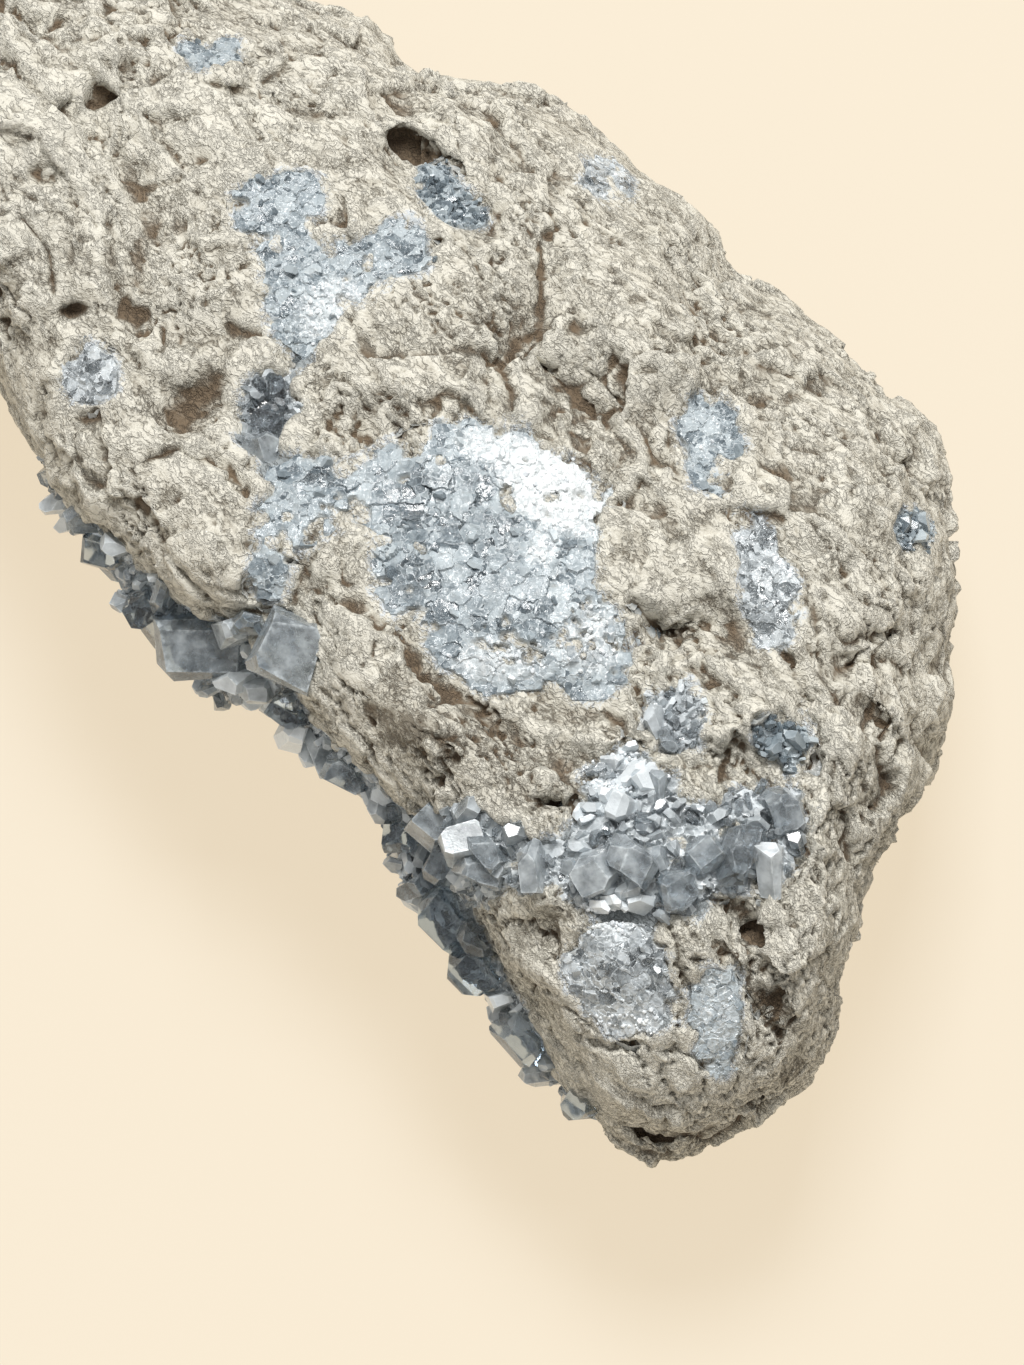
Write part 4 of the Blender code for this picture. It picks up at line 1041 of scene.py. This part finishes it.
def sheet_on(bed, cell, relief, levels):
    """The crust between single crystals: a closed sheet that ends under the rock's surface."""
    count = len(bed.vertices)
    outside = corners(bed)
    inside = outside - normals(bed) * SHEET_DEPTH
    faces = [tuple(face.vertices) for face in bed.polygons]
    directed = {(face[k - 1], face[k]) for face in faces for k in range(len(face))}
    walls = [(b, a, a + count, b + count) for a, b in directed if (b, a) not in directed]
    below = [tuple(k + count for k in reversed(face)) for face in faces]
    mesh = bpy.data.meshes.new("sheet")
    mesh.from_pydata(np.concatenate([outside, inside]), [], faces + below + walls)
    for name in ("blocks", "cover", "milk"):
        give(mesh, name, np.tile(kept(bed, name), 2))
    give(mesh, "top", np.repeat((1.0, 0.0), count))
    sheet = new_object("sheet", mesh)
    finer = sheet.modifiers.new("finer", "SUBSURF")
    finer.subdivision_type = "SIMPLE"
    finer.levels = finer.render_levels = levels
    settle(sheet)
    run_tree(sheet, mosaic_tree, {"Cell": cell, "Relief": relief})
    thin = sheet.modifiers.new("fewer triangles", "DECIMATE")
    thin.ratio = SHEET_KEPT
    settle(sheet)
    return sheet


VIEW_AXES = Matrix((
    (1, 0, 0), (0, TOWARD_VIEW[2], -TOWARD_VIEW[1]), tuple(TOWARD_VIEW)
)).transposed()


def tablet(dice, half_length, half_width, half_height):
    """A large tabular crystal's faces: a broad top, bevelled ends and sides, and cut corners."""
    faces = [((0, 0, 1), half_height), ((0, 0, -1), 1.4 * half_height)]
    for sign in (1, -1):
        faces.append(((sign, 0, 0.1), half_length))
        faces.append(((0, sign, 0.1), half_width))
        faces.append(((sign * 0.788, 0, 0.616), 0.72 * half_length + 0.5 * half_height))
        faces.append(((0, sign * 0.773, 0.635), 0.7 * half_width + 0.5 * half_height))
        for other in (1, -1):
            corner = 0.66 * (half_length * 0.614 + half_width * 0.789) + 0.2
            faces.append(((sign * 0.614, other * 0.789, 0.2), corner * 1.2))
    found = []
    for direction, away in faces:
        nudge = [dice.uniform(-0.15, 0.15) for _ in range(3)]
        direction = (Vector(direction) + Vector(nudge)).normalized()
        found.append((direction, away * dice.uniform(0.72, 1.12)))
    return found


CRYSTALS_LEAN = 0.9
FLUSH_SIZE = 0.6
FLUSH_CROWDING = 0.22
FLUSH_SUNK = 0.6
FINE_SHEET = (0.7, 0.34, 2)
COARSE_SHEET = (0.9, 0.8, 1)
for seed, (name, slot, size, sunk) in enumerate(CRUSTS):
    flush = sunk > FLUSH
    cell, relief, levels = COARSE_SHEET if name == "druse_crust" else FINE_SHEET
    bed = bed_of(name)
    sheet = sheet_on(bed, size * cell, relief, levels)
    large = new_object("large crystals", large_crystals(name))
    piece = new_object(name + "_crystals", bed)
    run_tree(piece, growth_tree, {
        "Size": size * (FLUSH_SIZE if flush else 1) * MM,
        "Crowding": FLUSH_CROWDING if flush else 1.0,
        "Sunk": FLUSH_SUNK if flush else sunk,
        "Crystal": blue if slot == "celestite_blue" else pale,
        "Tilt": CRYSTALS_LEAN, "Seed": seed, "Sugar": sugar,
        "Blocks": blocks, "Grains": grains, "Sheet": sheet, "Large": large,
    })
    for part in (sheet, large):
        bpy.data.objects.remove(part)
    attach(piece, "root")
    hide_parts(name)
for shapes in (blocks, grains):
    for shape in list(shapes.objects):
        bpy.data.objects.remove(shape)
    bpy.data.collections.remove(shapes)

# The pale floor, a soft lamp high up behind the piece, and the camera, 65 degrees up in front.
# The floor glows a little, so that it is as warm and even as in the photo.
FLOOR = (0.12, 0.128, 0.13)
FLOOR_ROUGHNESS = 0.9
FLOOR_GLOW = (1.0, 0.841, 0.619)
FLOOR_GLOW_STRENGTH = 0.766
FLOOR_REACH = 2
floor_mesh = bpy.data.meshes.new("floor")
ends = ((-1, -1), (1, -1), (1, 1), (-1, 1))
floor_mesh.from_pydata([(x * FLOOR_REACH, y * FLOOR_REACH, 0) for x, y in ends], [], [range(4)])
floor = new_object("floor", floor_mesh)
plain, start = new_material("pale floor")
matt = {"Base Color": (*FLOOR, 1), "Roughness": FLOOR_ROUGHNESS}
matt |= {"Emission Color": (*FLOOR_GLOW, 1), "Emission Strength": FLOOR_GLOW_STRENGTH}
start.node("ShaderNodeBsdfPrincipled", None, matt).end("ShaderNodeOutputMaterial")
floor_mesh.materials.append(plain)


def softbox(name, place_at, aim, size, power, colour):
    """A square studio lamp with an even face."""
    lamp = bpy.data.lights.new(name, "AREA")
    lamp.size = size
    lamp.energy = power
    lamp.color = colour
    made = new_object(name, lamp)
    made.location = place_at
    made.rotation_euler = (Vector(aim) - Vector(place_at)).to_track_quat("-Z", "Y").to_euler()


softbox("key", (0.04, 0.76, 2.05), (0, 0, 0.02), 0.8, 50, (1, 0.995, 0.98))
world = bpy.data.worlds.new("studio")
bpy.context.scene.world = world
world.use_nodes = True
world.node_tree.nodes["Background"].inputs["Color"].default_value = (1, 0.985, 0.96, 1)
world.node_tree.nodes["Background"].inputs["Strength"].default_value = 0.5

CAMERA_DISTANCE = 1.4
FRAME_HEIGHT = 0.1638
SENSOR = 36
target = place(0, 0, 38)
camera = new_object("camera", bpy.data.cameras.new("camera"))
camera.data.sensor_fit = "VERTICAL"
camera.data.sensor_height = SENSOR
camera.data.lens = SENSOR * CAMERA_DISTANCE / FRAME_HEIGHT
camera.location = target + Vector(TOWARD_VIEW) * CAMERA_DISTANCE
camera.rotation_euler = (math.pi / 2 - VIEW_ELEVATION, 0, 0)
bpy.context.scene.camera = camera
bpy.context.scene.view_settings.view_transform = "Standard"
